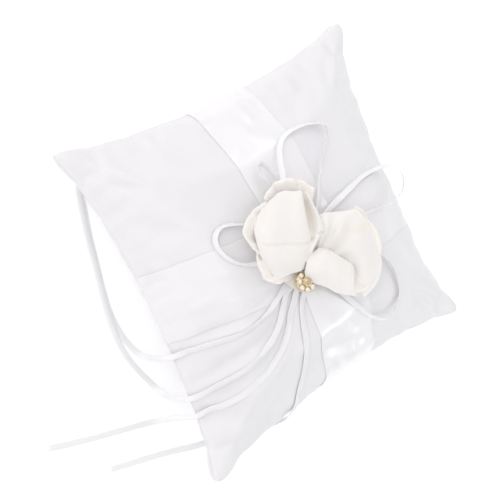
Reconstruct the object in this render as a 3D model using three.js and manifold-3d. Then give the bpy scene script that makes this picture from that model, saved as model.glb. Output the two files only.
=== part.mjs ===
// Ring bearer pillow: a square satin pillow with two wide ribbons crossed over its front, narrow ribbon
// loops and tails gathered at the crossing, and a satin and organza flower with a stone ornament.
// Millimetres, +Z up. The pillow lies on its back with its front facing +Z, the edge that the loose ribbons
// fall over facing -Y, and the origin in the middle of the patch it rests on.

import * as THREE from 'three';
import { mergeVertices } from 'three/addons/utils/BufferGeometryUtils.js';
import Module from 'manifold-3d';

const wasm = await Module();
wasm.setup();

// ---------------------------------------------------------------- driving dimensions

const SIDE = 200;                 // corner to corner along one edge
const EDGE_PULL = 10;             // how far the filling draws the middle of each edge in
const LOFT = 33.4;                // height of the crown over the front panel's edge
const SEAM_HEIGHT = 27;           // height of the edge seam over the table
const SEAM_GAP = 1.2;             // room between the two panels' edges for the seam thread
const PANEL = 1;                  // lined satin panel
const CLEAR = 0.4;                // gap kept between pieces that touch
const FILLING_CLEAR = 0.8;        // gap between the filling and the panels
const FILLING_REACH = 0.93;       // share of the way to the seam that the fibre reaches

const THREAD = 0.6;               // seam thread diameter
const OPENING = 60;               // filling opening in the back edge, closed by hand
const STITCH_PITCH = 6;           // ladder stitch length

const WIDE_RIBBON = 41;           // wide satin ribbon
const WIDE_THICK = 0.6;
const GATHER = 5;                 // width that the gathering takes out of it at the crossing
const GATHER_REACH = 28;          // distance over which the gathering fades

const NARROW_RIBBON = 3;          // narrow ribbon of the bows and tails
const NARROW_THICK = 0.8;

const KNOT = { x: 6, y: -9, radius: 11, thick: 0.9 };
const BASE = { radius: 20, thick: 1 };
const ORGANZA = 0.6;
const PETAL_SATIN = 0.8;
const PETAL_CURL = 0.002;         // how fast petals rise away from the middle of the flower

const ORNAMENT = { x: 17, y: -18, radius: 6.6, plate: 1, stones: 8 };
const STONE = { radius: 1.15, ring: 4.75, rise: 1.5 };
const CENTRE_STONE = { radius: 2.5, rise: 2.6 };
const COLLET_WALL = 0.35;
const COLLET_SIDES = 10;

// ---------------------------------------------------------------- derived sizes

const HALF = SIDE / 2;
const EDGE_RISE = SEAM_GAP / 2;
const CROWN = SEAM_HEIGHT + EDGE_RISE + LOFT;
const CROSS_TOP = CROWN + CLEAR + WIDE_THICK;
const LONG_TOP = CROSS_TOP + CLEAR + WIDE_THICK;
const RIBBON_TOP = LONG_TOP + 2 * CLEAR + NARROW_THICK;
const BASE_LEVEL = RIBBON_TOP + CLEAR;
const BASE_TOP = BASE_LEVEL + BASE.thick;

// ---------------------------------------------------------------- materials

function cloth(color, roughness, extra = {}) {
  return new THREE.MeshStandardMaterial({ color, roughness, metalness: 0, ...extra });
}

const MATERIALS = {
  bridalSatin: cloth(0xf4f3f6, 0.55),
  ribbonSatin: cloth(0xfbfafc, 0.3),
  ivorySatin: cloth(0xfbf3e6, 0.4),
  organza: cloth(0xfaf2e2, 0.6, { transparent: true, opacity: 0.5 }),
  filling: cloth(0xffffff, 0.95),
  felt: cloth(0xf7f4ee, 0.9),
  thread: cloth(0xf5f4f6, 0.6),
  gold: new THREE.MeshStandardMaterial({ color: 0xd9b25c, roughness: 0.25, metalness: 1 }),
  clearStone: cloth(0xf4f6fa, 0.05),
  goldenStone: cloth(0xb06a1c, 0.08),
};

// ---------------------------------------------------------------- building blocks

const UP = new THREE.Vector3(0, 0, 1);

function closed(geometry) {
  geometry.deleteAttribute('normal');
  geometry.deleteAttribute('uv');
  return mergeVertices(geometry, 1e-4);
}

// A slab bent into shape: place(s, t, side) gives the point at 0..1 along and across it, where side is 1 on
// the outer face and 0 on the inner one.
function slab(along, across, place) {
  const geometry = closed(new THREE.BoxGeometry(1, 1, 1, along, across, 1));
  const position = geometry.attributes.position;
  for (let i = 0; i < position.count; i++) {
    const point = place(position.getX(i) + 0.5, position.getY(i) + 0.5, position.getZ(i) + 0.5);
    position.setXYZ(i, point.x, point.y, point.z);
  }
  return geometry;
}

function toSolid(geometry) {
  const vertProperties = new Float32Array(geometry.attributes.position.array);
  const triVerts = new Uint32Array(geometry.index.array);
  return new wasm.Manifold(new wasm.Mesh({ numProp: 3, vertProperties, triVerts }));
}

function fromSolid(solid) {
  const mesh = solid.getMesh();
  const geometry = new THREE.BufferGeometry();
  geometry.setAttribute('position', new THREE.BufferAttribute(new Float32Array(mesh.vertProperties), 3));
  geometry.setIndex(new THREE.BufferAttribute(new Uint32Array(mesh.triVerts), 1));
  return geometry;
}

// A turned piece: [radius, height] pairs from the axis at the bottom to the axis at the top.
function turned(profile, segments) {
  const points = profile.map(([radius, height]) => new THREE.Vector2(radius, height));
  return closed(new THREE.LatheGeometry(points, segments)).rotateX(Math.PI / 2);
}

function disc(radius, bottom, top, segments) {
  return turned([[0, bottom], [radius, bottom], [radius, top], [0, top]], segments);
}

const group = new THREE.Group();

function add(name, geometry, material) {
  const mesh = new THREE.Mesh(geometry, material);
  mesh.name = name;
  group.add(mesh);
  return mesh;
}

// ---------------------------------------------------------------- pillow surface

// The front and back bulge from the seam as the product of two quarter waves. u and v run from -1 to 1
// between the edges, which the filling draws in towards their middles.
function pillowPoint(u, v, facing, lift) {
  const openU = Math.max(0, 1 - u * u);
  const openV = Math.max(0, 1 - v * v);
  const halfX = HALF - EDGE_PULL * openV;
  const halfY = HALF - EDGE_PULL * openU;
  const bulge = Math.sqrt(openU * openV);
  const outward = new THREE.Vector3(u * openV / halfX, v * openU / halfY, facing * bulge / LOFT);
  if (outward.length() < 1e-6) outward.set(u, v, 0);
  const point = new THREE.Vector3(u * halfX, v * halfY, SEAM_HEIGHT + facing * (EDGE_RISE + LOFT * bulge));
  return point.addScaledVector(outward.normalize(), lift);
}

// Equal steps of angle keep the facets as fine at the steep edges as on the crown.
function wave(t) {
  return Math.sin((t - 0.5) * Math.PI);
}

// The front's u and v at a place given in millimetres.
function frontUV(x, y) {
  let u = x / HALF;
  let v = y / HALF;
  for (let i = 0; i < 30; i++) {
    u = x / (HALF - EDGE_PULL * (1 - v * v));
    v = y / (HALF - EDGE_PULL * (1 - u * u));
  }
  return [THREE.MathUtils.clamp(u, -1, 1), THREE.MathUtils.clamp(v, -1, 1)];
}

const PANEL_STEPS = 20;
const FILLING_STEPS = 14;

function buildPillow() {
  add('cover_front', slab(PANEL_STEPS, PANEL_STEPS, (s, t, side) =>
    pillowPoint(wave(s), wave(t), 1, side ? 0 : -PANEL)), MATERIALS.bridalSatin);

  add('cover_back', slab(PANEL_STEPS, PANEL_STEPS, (s, t, side) => {
    const point = pillowPoint(wave(s), wave(t), -1, side ? -PANEL : 0);
    point.z = Math.max(point.z, side ? PANEL : 0);
    return point;
  }), MATERIALS.bridalSatin);

  add('fibre_filling', slab(FILLING_STEPS, FILLING_STEPS, (s, t, side) => {
    const u = wave(s) * FILLING_REACH;
    const v = wave(t) * FILLING_REACH;
    const point = pillowPoint(u, v, side ? 1 : -1, -PANEL - FILLING_CLEAR);
    point.z = Math.max(point.z, PANEL + FILLING_CLEAR);
    return point;
  }), MATERIALS.filling);
}

// ---------------------------------------------------------------- seam and closing stitches

function seamPoint(u, v, inset) {
  const point = pillowPoint(u, v, 1, -inset);
  point.z = SEAM_HEIGHT;
  return point;
}

const THREAD_SIDES = 6;

function threadSection() {
  const corners = [];
  for (let i = 0; i < THREAD_SIDES; i++) {
    const angle = i * Math.PI * 2 / THREAD_SIDES;
    corners.push(new THREE.Vector2(Math.cos(angle), Math.sin(angle)).multiplyScalar(THREAD / 2));
  }
  return new THREE.Shape(corners);
}

function threadAlong(points, steps) {
  const extrudePath = new THREE.CatmullRomCurve3(points, false, 'centripetal');
  return closed(new THREE.ExtrudeGeometry(threadSection(), { steps, extrudePath }));
}

// Evenly spaced points between two values of a coordinate.
function stretch(steps, from, to, place) {
  return Array.from({ length: steps + 1 }, (_, i) => place(from + (to - from) * i / steps));
}

const SEAM_INSET = PANEL / 2;
const SEAM_TURN = 0.985;          // the thread turns just inside each corner
const SEAM_STEPS = 56;
const CLOSED_SHARE = 0.8;         // share of the opening that the hand stitches cover
const STITCH_SWING = 0.2;         // how far the hand stitches step in and out

function buildStitches() {
  const opening = OPENING / SIDE;
  const run = [
    ...stretch(5, opening, SEAM_TURN, (u) => seamPoint(u, 1, SEAM_INSET)),
    ...stretch(8, SEAM_TURN, -SEAM_TURN, (v) => seamPoint(1, v, SEAM_INSET)),
    ...stretch(8, SEAM_TURN, -SEAM_TURN, (u) => seamPoint(u, -1, SEAM_INSET)),
    ...stretch(8, -SEAM_TURN, SEAM_TURN, (v) => seamPoint(-1, v, SEAM_INSET)),
    ...stretch(5, -SEAM_TURN, -opening, (u) => seamPoint(u, 1, SEAM_INSET)),
  ];
  add('seam_thread', threadAlong(run, SEAM_STEPS), MATERIALS.thread);

  const stitches = Math.floor(OPENING * CLOSED_SHARE / STITCH_PITCH);
  const reach = opening * CLOSED_SHARE;
  const ladder = Array.from({ length: stitches + 1 }, (_, i) => {
    const swing = i % 2 ? STITCH_SWING : -STITCH_SWING;
    return seamPoint((2 * i / stitches - 1) * reach, 1, SEAM_INSET + swing);
  });
  add('closing_stitch', threadAlong(ladder, 2 * stitches), MATERIALS.thread);
}

// ---------------------------------------------------------------- wide ribbons

// Each wide ribbon runs from edge to edge with a slight slant, and is gathered narrower at the crossing.
const LONG_CENTRE = { at: 2.5, slope: 0.035 };
const CROSS_CENTRE = { at: 3.7, slope: 0.073 };
const BAND_STEPS = 24;
const BAND_ACROSS = 6;
const BAND_REACH = 0.97;          // the ribbon is caught just inside the seam
const STEP_MARGIN = 2;            // the upper ribbon is at full height this far past the lower one
const STEP_RAMP = 10;

function bandWidth(distance) {
  return WIDE_RIBBON - GATHER * Math.exp(-((distance / GATHER_REACH) ** 2));
}

function buildBands() {
  add('band_cross', slab(BAND_ACROSS, BAND_STEPS, (s, t, side) => {
    const v = wave(0.5 + (t - 0.5) * BAND_REACH);
    const y = v * (HALF - EDGE_PULL);
    const x = CROSS_CENTRE.at + CROSS_CENTRE.slope * y + (s - 0.5) * bandWidth(y);
    const u = x / (HALF - EDGE_PULL * (1 - v * v));
    return pillowPoint(u, v, 1, CLEAR + side * WIDE_THICK);
  }), MATERIALS.ribbonSatin);

  // The long ribbon lies over the other, so it steps up by one thickness where they cross.
  const step = WIDE_THICK + CLEAR;
  const reach = WIDE_RIBBON / 2 + STEP_MARGIN;
  add('band_long', slab(BAND_STEPS, BAND_ACROSS, (s, t, side) => {
    const u = wave(0.5 + (s - 0.5) * BAND_REACH);
    const x = u * (HALF - EDGE_PULL);
    const y = LONG_CENTRE.at + LONG_CENTRE.slope * x + (t - 0.5) * bandWidth(x);
    const v = y / (HALF - EDGE_PULL * (1 - u * u));
    const over = 1 - THREE.MathUtils.smoothstep(Math.abs(x - CROSS_CENTRE.at), reach, reach + STEP_RAMP);
    return pillowPoint(u, v, 1, CLEAR + step * over + side * WIDE_THICK);
  }), MATERIALS.ribbonSatin);
}

// ---------------------------------------------------------------- narrow ribbon

// A curve that carries the way its ribbon faces, so that the flat section neither rolls nor flips.
class RibbonCurve extends THREE.CatmullRomCurve3 {
  constructor(points, facing) {
    super(points.map((point) => new THREE.Vector3(...point)), false, 'centripetal');
    this.facing = facing;
  }

  computeFrenetFrames(steps) {
    const frames = { tangents: [], normals: [], binormals: [] };
    for (let i = 0; i <= steps; i++) {
      const tangent = this.getTangentAt(i / steps);
      const face = this.facing(this.getPointAt(i / steps), tangent, i / steps);
      const across = new THREE.Vector3().crossVectors(face, tangent).normalize();
      frames.tangents.push(tangent);
      frames.normals.push(across);
      frames.binormals.push(new THREE.Vector3().crossVectors(tangent, across));
    }
    return frames;
  }
}

function ribbonSection() {
  const w = NARROW_RIBBON / 2;
  const h = NARROW_THICK / 2;
  const corners = [[w, -h / 2], [w, h / 2], [w * 0.8, h], [-w * 0.8, h],
    [-w, h / 2], [-w, -h / 2], [-w * 0.8, -h], [w * 0.8, -h]];
  return new THREE.Shape(corners.map(([x, y]) => new THREE.Vector2(x, y)));
}

function ribbon(name, points, steps, facing) {
  const extrudePath = new RibbonCurve(points, facing);
  const geometry = new THREE.ExtrudeGeometry(ribbonSection(), { steps, extrudePath });
  add(name, closed(geometry), MATERIALS.ribbonSatin);
}

// A tail lies with its flat side out from the pillow, and turns face up as it reaches the table.
const TABLE_TURN = { low: 2, high: 12 };

function lyingFace(point) {
  const [u, v] = frontUV(point.x, point.y);
  const bulge = Math.max(0, point.z - SEAM_HEIGHT) / LOFT;
  const outward = new THREE.Vector3(u * (1 - v * v) / HALF, v * (1 - u * u) / HALF, bulge / LOFT);
  if (Math.abs(u) === 1) outward.x = Math.sign(u) / HALF;
  if (Math.abs(v) === 1) outward.y = Math.sign(v) / HALF;
  const raised = THREE.MathUtils.smoothstep(point.z, TABLE_TURN.low, TABLE_TURN.high);
  return outward.normalize().multiplyScalar(raised).addScaledVector(UP, 1 - raised);
}

// A bow loop leaves the knot lying flat, leans up on its edge round the loop and comes back flat.
const LOOP_LEAN = THREE.MathUtils.degToRad(75);

function loopFace(point, tangent, at) {
  const ends = Math.min(at, 1 - at);
  const lean = LOOP_LEAN * THREE.MathUtils.smoothstep(ends, 0.05, 0.28);
  const outside = new THREE.Vector3().crossVectors(tangent, UP).normalize();
  return outside.multiplyScalar(Math.sin(lean)).addScaledVector(UP, Math.cos(lean));
}

// The short loop is folded flat on itself: its outer half lies back over its inner half.
const FOLD_ACROSS = new THREE.Vector3(0.26, -0.966, 0);

function foldedFace(point, tangent) {
  return new THREE.Vector3().crossVectors(tangent, FOLD_ACROSS).negate();
}

const TAILS = {
  tail_1: [[11.3, -19.8, 64], [16, -26.5, 62.6], [21, -34, 60.6], [25.5, -44, 57.6], [27.8, -55, 54.7],
    [27.8, -66, 51.3], [26.5, -77, 46.5], [25.3, -85, 41.2], [24.8, -91.2, 33], [25, -93.4, 26],
    [25.5, -94.4, 16], [25, -95.8, 7], [22.5, -98.4, 1.8], [17, -100.6, 0.6], [8, -102.8, 0.6],
    [-7, -103.4, 0.6], [-22, -100.9, 0.6], [-36, -97.8, 0.6], [-50, -94.6, 0.6], [-65, -90.4, 0.6],
    [-79, -85.4, 0.6], [-84, -76, 0.6], [-83, -66, 0.6]],
  tail_2: [[14.3, -17.6, 64], [19, -24, 62.8], [26, -31, 60.7], [33, -37, 58.4], [39.5, -45, 55.7],
    [44.5, -55, 52.8], [48, -65, 49.7], [49.6, -75, 46.2], [50.2, -84, 41.8], [50.6, -92.6, 33],
    [50.8, -94.8, 26], [50.8, -95.8, 16], [49, -97.2, 7], [44, -99.2, 1.8], [38, -100.8, 0.6],
    [30, -103.4, 0.6], [21, -106.4, 0.6], [8, -108.4, 0.6], [-7, -108.6, 0.6], [-22, -105.6, 0.6],
    [-36, -102.2, 0.6], [-50, -99, 0.6], [-66, -94.7, 0.6], [-82, -89.2, 0.6], [-89.6, -78, 0.6],
    [-88, -64, 0.6]],
  tail_3: [[16.6, -14.6, 64], [22, -20.6, 62.8], [29.5, -27.5, 60.6], [38, -33.5, 57.9], [46, -40, 55.2],
    [52, -48, 52.9], [56.5, -57, 50.4], [59.5, -67, 47.6], [60.7, -77, 44.3], [61, -86, 39.8],
    [61.2, -92.6, 34.2], [61.6, -95.4, 27], [62, -97.4, 18], [62.2, -100.6, 8], [61, -106, 1.8],
    [57.6, -117, 0.6], [53, -131, 0.6], [48.6, -145.4, 0.6], [44.2, -157.5, 0.6], [40.1, -168.5, 0.6]],
  tail_4: [[17.8, -11.1, 64], [22.5, -15.4, 62.9], [29, -19.8, 61.2], [38, -24, 58.9], [50, -28, 55.7],
    [62, -32.4, 52.2], [72, -37, 48.4], [80, -41.6, 44.5], [87, -46, 39.6], [92, -49.6, 34],
    [94.6, -52.6, 27], [95.6, -56.4, 17], [95.4, -61.6, 7], [94, -69, 1.4], [91.2, -80.5, 0.6],
    [87, -94, 0.6], [82.4, -105.5, 0.6], [78, -118, 0.6], [74, -131, 0.6], [70.1, -143.4, 0.6]],
};

const LOOPS = {
  loop_left: [[-5, -15.9, 64], [-13, -21.5, 63], [-22, -28.5, 61.4], [-28.5, -38.4, 59.4], [-30.4, -46.6, 57.8],
    [-26.6, -51.8, 57.2], [-20, -52.8, 57.6], [-13.4, -50.4, 58.6], [-7.4, -45.6, 60.2], [-3.8, -38, 61.8],
    [-0.8, -29.5, 63], [1.6, -21.2, 64]],
  loop_top: [[-2.5, 0.8, 64], [-9, 7.4, 64], [-16, 13.4, 64], [-23, 18, 63.4], [-31, 24.4, 62],
    [-39, 32.4, 60], [-46, 41, 58], [-50.4, 44, 57], [-54, 41.6, 56.8], [-57.4, 33.4, 57.2],
    [-59, 21, 57.8], [-56.8, 10.8, 58.8], [-50.6, 3.8, 62], [-42.5, -1, 65.2], [-33, -4.4, 66.6],
    [-24, -6.2, 66.2], [-17, -7, 64.4], [-6.9, -7.2, 64]],
  loop_right: [[6.5, 4, 64], [6.3, 14, 64], [5.6, 26, 63.4], [4.6, 38.9, 61.8], [5.6, 49.1, 59.6],
    [7.8, 60, 56.6], [8.8, 70.5, 53], [8.6, 80, 49], [6.4, 87, 46], [1, 91.4, 44.5], [-5.2, 90, 44.8],
    [-9.6, 84.6, 46.6], [-12.4, 76, 50], [-14.4, 66, 54], [-15.4, 55, 57.2], [-14.6, 43.8, 60.4],
    [-12.4, 30.9, 62.6], [-9.6, 17.6, 63.8], [-5.6, 8.6, 64], [0.4, 2.8, 64]],
  loop_lower: [[18.1, -4.1, 64], [27, 0.4, 63.4], [35, 4.4, 62.2], [43, 8.4, 60.9], [50.5, 12.6, 59.4],
    [58.6, 18.4, 57], [65, 25, 54.6], [69.4, 32.4, 52], [69.4, 39.4, 50.6], [65.5, 44.4, 50.4],
    [59, 48.2, 51.2], [51, 50, 53], [42.6, 49.2, 55.4], [34.8, 45.6, 58.2], [27.6, 38.6, 60.8],
    [22.4, 29, 62.9], [17.6, 16, 64], [12.1, 2.6, 64]],
};

const SHORT_LOOP = [[-22, -0.5, 62.9], [-30, -2.6, 61.4], [-39, -5, 60], [-47, -7.2, 58.2], [-50.2, -8, 57.7],
  [-51, -8.2, 58.5], [-50, -8, 59.3], [-46.6, -7.1, 60], [-39, -5, 61.6], [-30, -2.6, 63.1], [-22, -0.5, 64.5]];

const TAIL_STEPS = 42;
const LOOP_STEPS = 26;

function buildNarrowRibbons() {
  for (const [name, points] of Object.entries(TAILS)) ribbon(name, points, TAIL_STEPS, lyingFace);
  for (const [name, points] of Object.entries(LOOPS)) ribbon(name, points, LOOP_STEPS, loopFace);
  ribbon('loop_short', SHORT_LOOP, LOOP_STEPS, foldedFace);

  const bottom = LONG_TOP + CLEAR;
  const knot = disc(KNOT.radius, bottom, bottom + KNOT.thick, 24);
  add('ribbon_knot', knot.translate(KNOT.x, KNOT.y, 0), MATERIALS.ribbonSatin);
}

// ---------------------------------------------------------------- flower

// Each petal is a fan from a root near the middle of the flower to a hand-cut outline, which runs
// anticlockwise. Petals are stacked,
// each one thickness and a clearance over the last, and rise together towards their rims.
const ORGANZA_OUTLINES = {
  organza_petal_top: [[-26, 10], [-34, 4], [-38.5, -5], [-39, -14], [-35, -22]],
  organza_petal_left: [[-33, -22], [-32, -34], [-25, -42], [-16, -42], [-9, -38]],
  organza_petal_front: [[-12, -39], [-4, -42], [4, -41], [10, -35], [11, -28]],
  organza_petal_right: [[38, 5], [39.5, 14], [36, 24], [28, 33], [17, 37], [4, 36], [-6, 30]],
};

const SATIN_OUTLINES = {
  satin_petal_back: [[34, 2], [37, 12], [31.5, 22], [23, 30], [12, 32.4], [0, 30], [-7, 22], [-11, 10]],
  satin_petal_left: [[0, 4], [-11, 8], [-22, 6], [-31, -2], [-34, -13], [-31, -25], [-23, -35], [-14, -37.5],
    [-5, -37.5], [3, -36], [8, -32], [8.4, -22]],
  satin_petal_front: [[13, -12], [20, -13], [27, -8.6], [34, -1.7], [40, 7], [31, 13], [22, 14], [13, 8],
    [7, 3]],
};

const ROOT_SHARE = 0.1;           // how near the fan starts to its root
const ROOT_BACK = 3;              // how far past the middle the root lies
const PETAL_STEPS = 6;

function petal(name, outline, level, thick, material) {
  const rim = new THREE.CatmullRomCurve3(outline.map(([x, y]) => new THREE.Vector3(x, y, 0)));
  const middle = rim.getPoint(0.5);
  const root = new THREE.Vector3(KNOT.x, KNOT.y, 0);
  root.addScaledVector(middle.clone().sub(root).normalize(), -ROOT_BACK);
  const geometry = slab(outline.length * 2, PETAL_STEPS, (s, t, side) => {
    const reach = ROOT_SHARE + (1 - ROOT_SHARE) * (1 - t);
    const point = rim.getPoint(s).sub(root).multiplyScalar(reach).add(root);
    const out = Math.hypot(point.x - KNOT.x, point.y - KNOT.y);
    point.z = level + PETAL_CURL * out * out + side * thick;
    return point;
  });
  add(name, geometry, material);
}

function buildFlower() {
  const base = disc(BASE.radius, BASE_LEVEL, BASE_TOP, 32);
  add('flower_base', base.translate(KNOT.x, KNOT.y, 0), MATERIALS.felt);

  let level = BASE_TOP + CLEAR;
  for (const [name, outline] of Object.entries(ORGANZA_OUTLINES)) {
    petal(name, outline, level, ORGANZA, MATERIALS.organza);
    level += ORGANZA + CLEAR;
  }
  for (const [name, outline] of Object.entries(SATIN_OUTLINES)) {
    petal(name, outline, level, PETAL_SATIN, MATERIALS.ivorySatin);
    level += PETAL_SATIN + CLEAR;
  }
}

// ---------------------------------------------------------------- ornament

// A faceted stone: a pointed pavilion under a bevelled crown.
function stone(radius, facets) {
  const depth = radius * 0.8;
  const profile = [[0, -depth], [radius, 0], [radius * 0.62, radius * 0.4], [0, radius * 0.4]];
  return turned(profile, facets);
}

function collet(radius, rise) {
  return disc(radius + CLEAR + COLLET_WALL, 0, ORNAMENT.plate + rise, COLLET_SIDES);
}

// The pocket follows the stone's pavilion, with a clearance all round.
function pocket(radius, rise) {
  const wide = radius + CLEAR;
  const depth = radius * 0.8 + CLEAR;
  const profile = [[0, -depth], [wide, 0], [wide, rise], [0, rise]];
  return turned(profile, COLLET_SIDES);
}

function buildOrnament() {
  const seats = [{ name: 'centre_stone', x: 0, y: 0, ...CENTRE_STONE, facets: 10 }];
  for (let i = 0; i < ORNAMENT.stones; i++) {
    const angle = (i + 0.5) * Math.PI * 2 / ORNAMENT.stones;
    const x = Math.cos(angle) * STONE.ring;
    const y = Math.sin(angle) * STONE.ring;
    seats.push({ name: `rhinestone_${i + 1}`, x, y, radius: STONE.radius, rise: STONE.rise, facets: 8 });
  }

  const foot = BASE_TOP + CLEAR;
  let setting = toSolid(disc(ORNAMENT.radius - COLLET_WALL, 0, ORNAMENT.plate, 32));
  for (const { x, y, radius, rise } of seats) {
    setting = setting.add(toSolid(collet(radius, rise).translate(x, y, 0)));
  }
  for (const { x, y, radius, rise } of seats) {
    setting = setting.subtract(toSolid(pocket(radius, rise * 2).translate(x, y, ORNAMENT.plate + rise * 0.8)));
  }
  const metal = add('ornament_setting', fromSolid(setting), MATERIALS.gold);
  metal.position.set(ORNAMENT.x, ORNAMENT.y, foot);

  for (const { name, x, y, radius, rise, facets } of seats) {
    const material = name === 'centre_stone' ? MATERIALS.goldenStone : MATERIALS.clearStone;
    const gem = add(name, stone(radius, facets), material);
    gem.position.set(ORNAMENT.x + x, ORNAMENT.y + y, foot + ORNAMENT.plate + rise * 0.8);
  }
}

buildPillow();
buildStitches();
buildBands();
buildNarrowRibbons();
buildFlower();
buildOrnament();

export default group;
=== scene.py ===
"""A satin ring bearer pillow: stuffed cover, crossed wide ribbons, bow loops and tails, and a cloth flower.

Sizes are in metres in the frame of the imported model: +Z out of the pillow's front, -Y towards the edge that
the loose tails fall over, and the origin in the middle of the patch that the pillow rests on. Routes,
outlines and folds are written in millimetres, as a sewing pattern is, and turned into metres once.
"""

import logging
import math
import random
from dataclasses import dataclass, field
from enum import Enum
from typing import Callable, Iterable, Optional, Sequence

import bmesh
import bpy
import numpy as np
from mathutils import Matrix, Vector, noise
from mathutils.bvhtree import BVHTree


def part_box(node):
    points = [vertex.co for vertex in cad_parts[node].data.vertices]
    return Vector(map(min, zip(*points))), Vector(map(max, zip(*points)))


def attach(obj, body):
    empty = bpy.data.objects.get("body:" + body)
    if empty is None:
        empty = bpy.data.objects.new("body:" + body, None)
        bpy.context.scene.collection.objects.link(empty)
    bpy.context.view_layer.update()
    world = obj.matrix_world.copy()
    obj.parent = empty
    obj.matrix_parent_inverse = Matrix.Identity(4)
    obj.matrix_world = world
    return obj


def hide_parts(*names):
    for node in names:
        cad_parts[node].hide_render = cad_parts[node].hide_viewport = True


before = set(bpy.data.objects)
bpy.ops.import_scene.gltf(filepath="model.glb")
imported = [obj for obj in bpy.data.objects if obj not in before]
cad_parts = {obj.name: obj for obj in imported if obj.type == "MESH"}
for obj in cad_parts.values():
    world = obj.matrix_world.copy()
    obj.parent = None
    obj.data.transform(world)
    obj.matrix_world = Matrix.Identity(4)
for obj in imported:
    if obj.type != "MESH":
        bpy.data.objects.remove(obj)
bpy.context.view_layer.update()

LOG = logging.getLogger("ring_pillow")
MM = 0.001
UP = Vector((0, 0, 1))
BODY = "root"

Point = tuple[float, float, float]
Place = tuple[float, float]


# ---------------------------------------------------------------- small mathematics


def mm(point: Sequence[float]) -> Vector:
    """A point written in millimetres, as a vector in metres."""
    return Vector(point) * MM


def smoothstep(value: float, low: float, high: float) -> float:
    """Rises smoothly from 0 at low to 1 at high."""
    share = min(1.0, max(0.0, (value - low) / (high - low)))
    return share * share * (3 - 2 * share)


def bell(distance: float, reach: float) -> float:
    """1 at no distance, fading to almost nothing past twice the reach."""
    return math.exp(-((distance / reach) ** 2))


def wave(share: float) -> float:
    """Turns a share from 0 to 1 into -1 to 1, with points close together at both ends."""
    return math.sin((share - 0.5) * math.pi)


class Spline:
    """A centripetal Catmull-Rom curve through its points, walked by its length.

    Args:
        points: the points that it passes through.
        fineness: samples taken between each two points.
    """

    def __init__(self, points: Sequence[Vector], fineness: int = 24) -> None:
        """Samples the curve between its guides and measures how far along each sample lies.

        Args:
            points: the guides, in order.
            fineness: the samples between each two of them.
        """
        guides = [Vector(p) for p in points]
        ends = [guides[0] * 2 - guides[1], *guides, guides[-1] * 2 - guides[-2]]
        self.samples = [guides[0].copy()]
        for i in range(1, len(ends) - 2):
            for k in range(1, fineness + 1):
                self.samples.append(self._between(ends[i - 1:i + 3], k / fineness))
        self.reached = [0.0]
        for a, b in zip(self.samples, self.samples[1:]):
            self.reached.append(self.reached[-1] + (b - a).length)

    @staticmethod
    def _between(four: Sequence[Vector], share: float) -> Vector:
        """The point at a share of the way from the second to the third of four guides.

        Args:
            four: the guides.
            share: how far from the second to the third.

        Returns:
            The point.
        """
        knots = [0.0]
        for a, b in zip(four, four[1:]):
            knots.append(knots[-1] + max((b - a).length, 1e-9) ** 0.5)
        at = knots[1] + (knots[2] - knots[1]) * share
        level = list(four)
        for width in (1, 2):
            level = [
                (a * (knots[i + width] - at) + b * (at - knots[i])) / (knots[i + width] - knots[i])
                for i, (a, b) in enumerate(zip(level, level[1:]))
            ]
        return (level[0] * (knots[2] - at) + level[1] * (at - knots[1])) / (knots[2] - knots[1])

    @property
    def length(self) -> float:
        """The curve's length."""
        return self.reached[-1]

    def at(self, share: float) -> Vector:
        """The point at a share of the curve's length.

        Args:
            share: from 0 at its first point to 1 at its last.

        Returns:
            The point.
        """
        target = min(1.0, max(0.0, share)) * self.length
        i = int(np.searchsorted(self.reached, target, side="right")) - 1
        i = min(max(i, 0), len(self.samples) - 2)
        step = self.reached[i + 1] - self.reached[i]
        return self.samples[i].lerp(self.samples[i + 1], (target - self.reached[i]) / step if step else 0.0)

    def even(self, count: int) -> list[Vector]:
        """Points at equal steps of length, both ends included."""
        return [self.at(i / (count - 1)) for i in range(count)]


# ---------------------------------------------------------------- mesh making


def bent_grid(columns: int, rows: int, place: Callable[[float, float], Vector],
              cloth: Place = (1.0, 1.0)) -> bmesh.types.BMesh:
    """A grid of cloth whose points are put where they belong.

    Args:
        columns: faces across.
        rows: faces along.
        place: the point at a share across and a share along.
        cloth: the flat cloth's width and length, which its UV map is laid out in.

    Returns:
        The grid, with a UV map in metres.
    """
    made = bmesh.new()
    bmesh.ops.create_grid(made, x_segments=columns, y_segments=rows, size=0.5)
    layer = made.loops.layers.uv.new("cloth")
    for face in made.faces:
        for loop in face.loops:
            across, along = loop.vert.co.x + 0.5, loop.vert.co.y + 0.5
            loop[layer].uv = (across * cloth[0], along * cloth[1])
    for vert in made.verts:
        vert.co = place(vert.co.x + 0.5, vert.co.y + 0.5)
    made.normal_update()
    return made


def add_modifier(piece: bpy.types.Object, kind: str, **values: object) -> bpy.types.Modifier:
    """Adds a modifier to a piece and sets its values.

    Args:
        piece: the piece.
        kind: the modifier's type.
        values: its settings.

    Returns:
        The modifier.
    """
    modifier = piece.modifiers.new(kind.title(), kind)
    for name, value in values.items():
        setattr(modifier, name, value)
    return modifier


def subdivide(piece: bpy.types.Object, level: int = 1) -> None:
    """Adds a Subdivision Surface that is as fine in the render as in the viewport."""
    add_modifier(piece, "SUBSURF", levels=level, render_levels=level)


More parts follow.
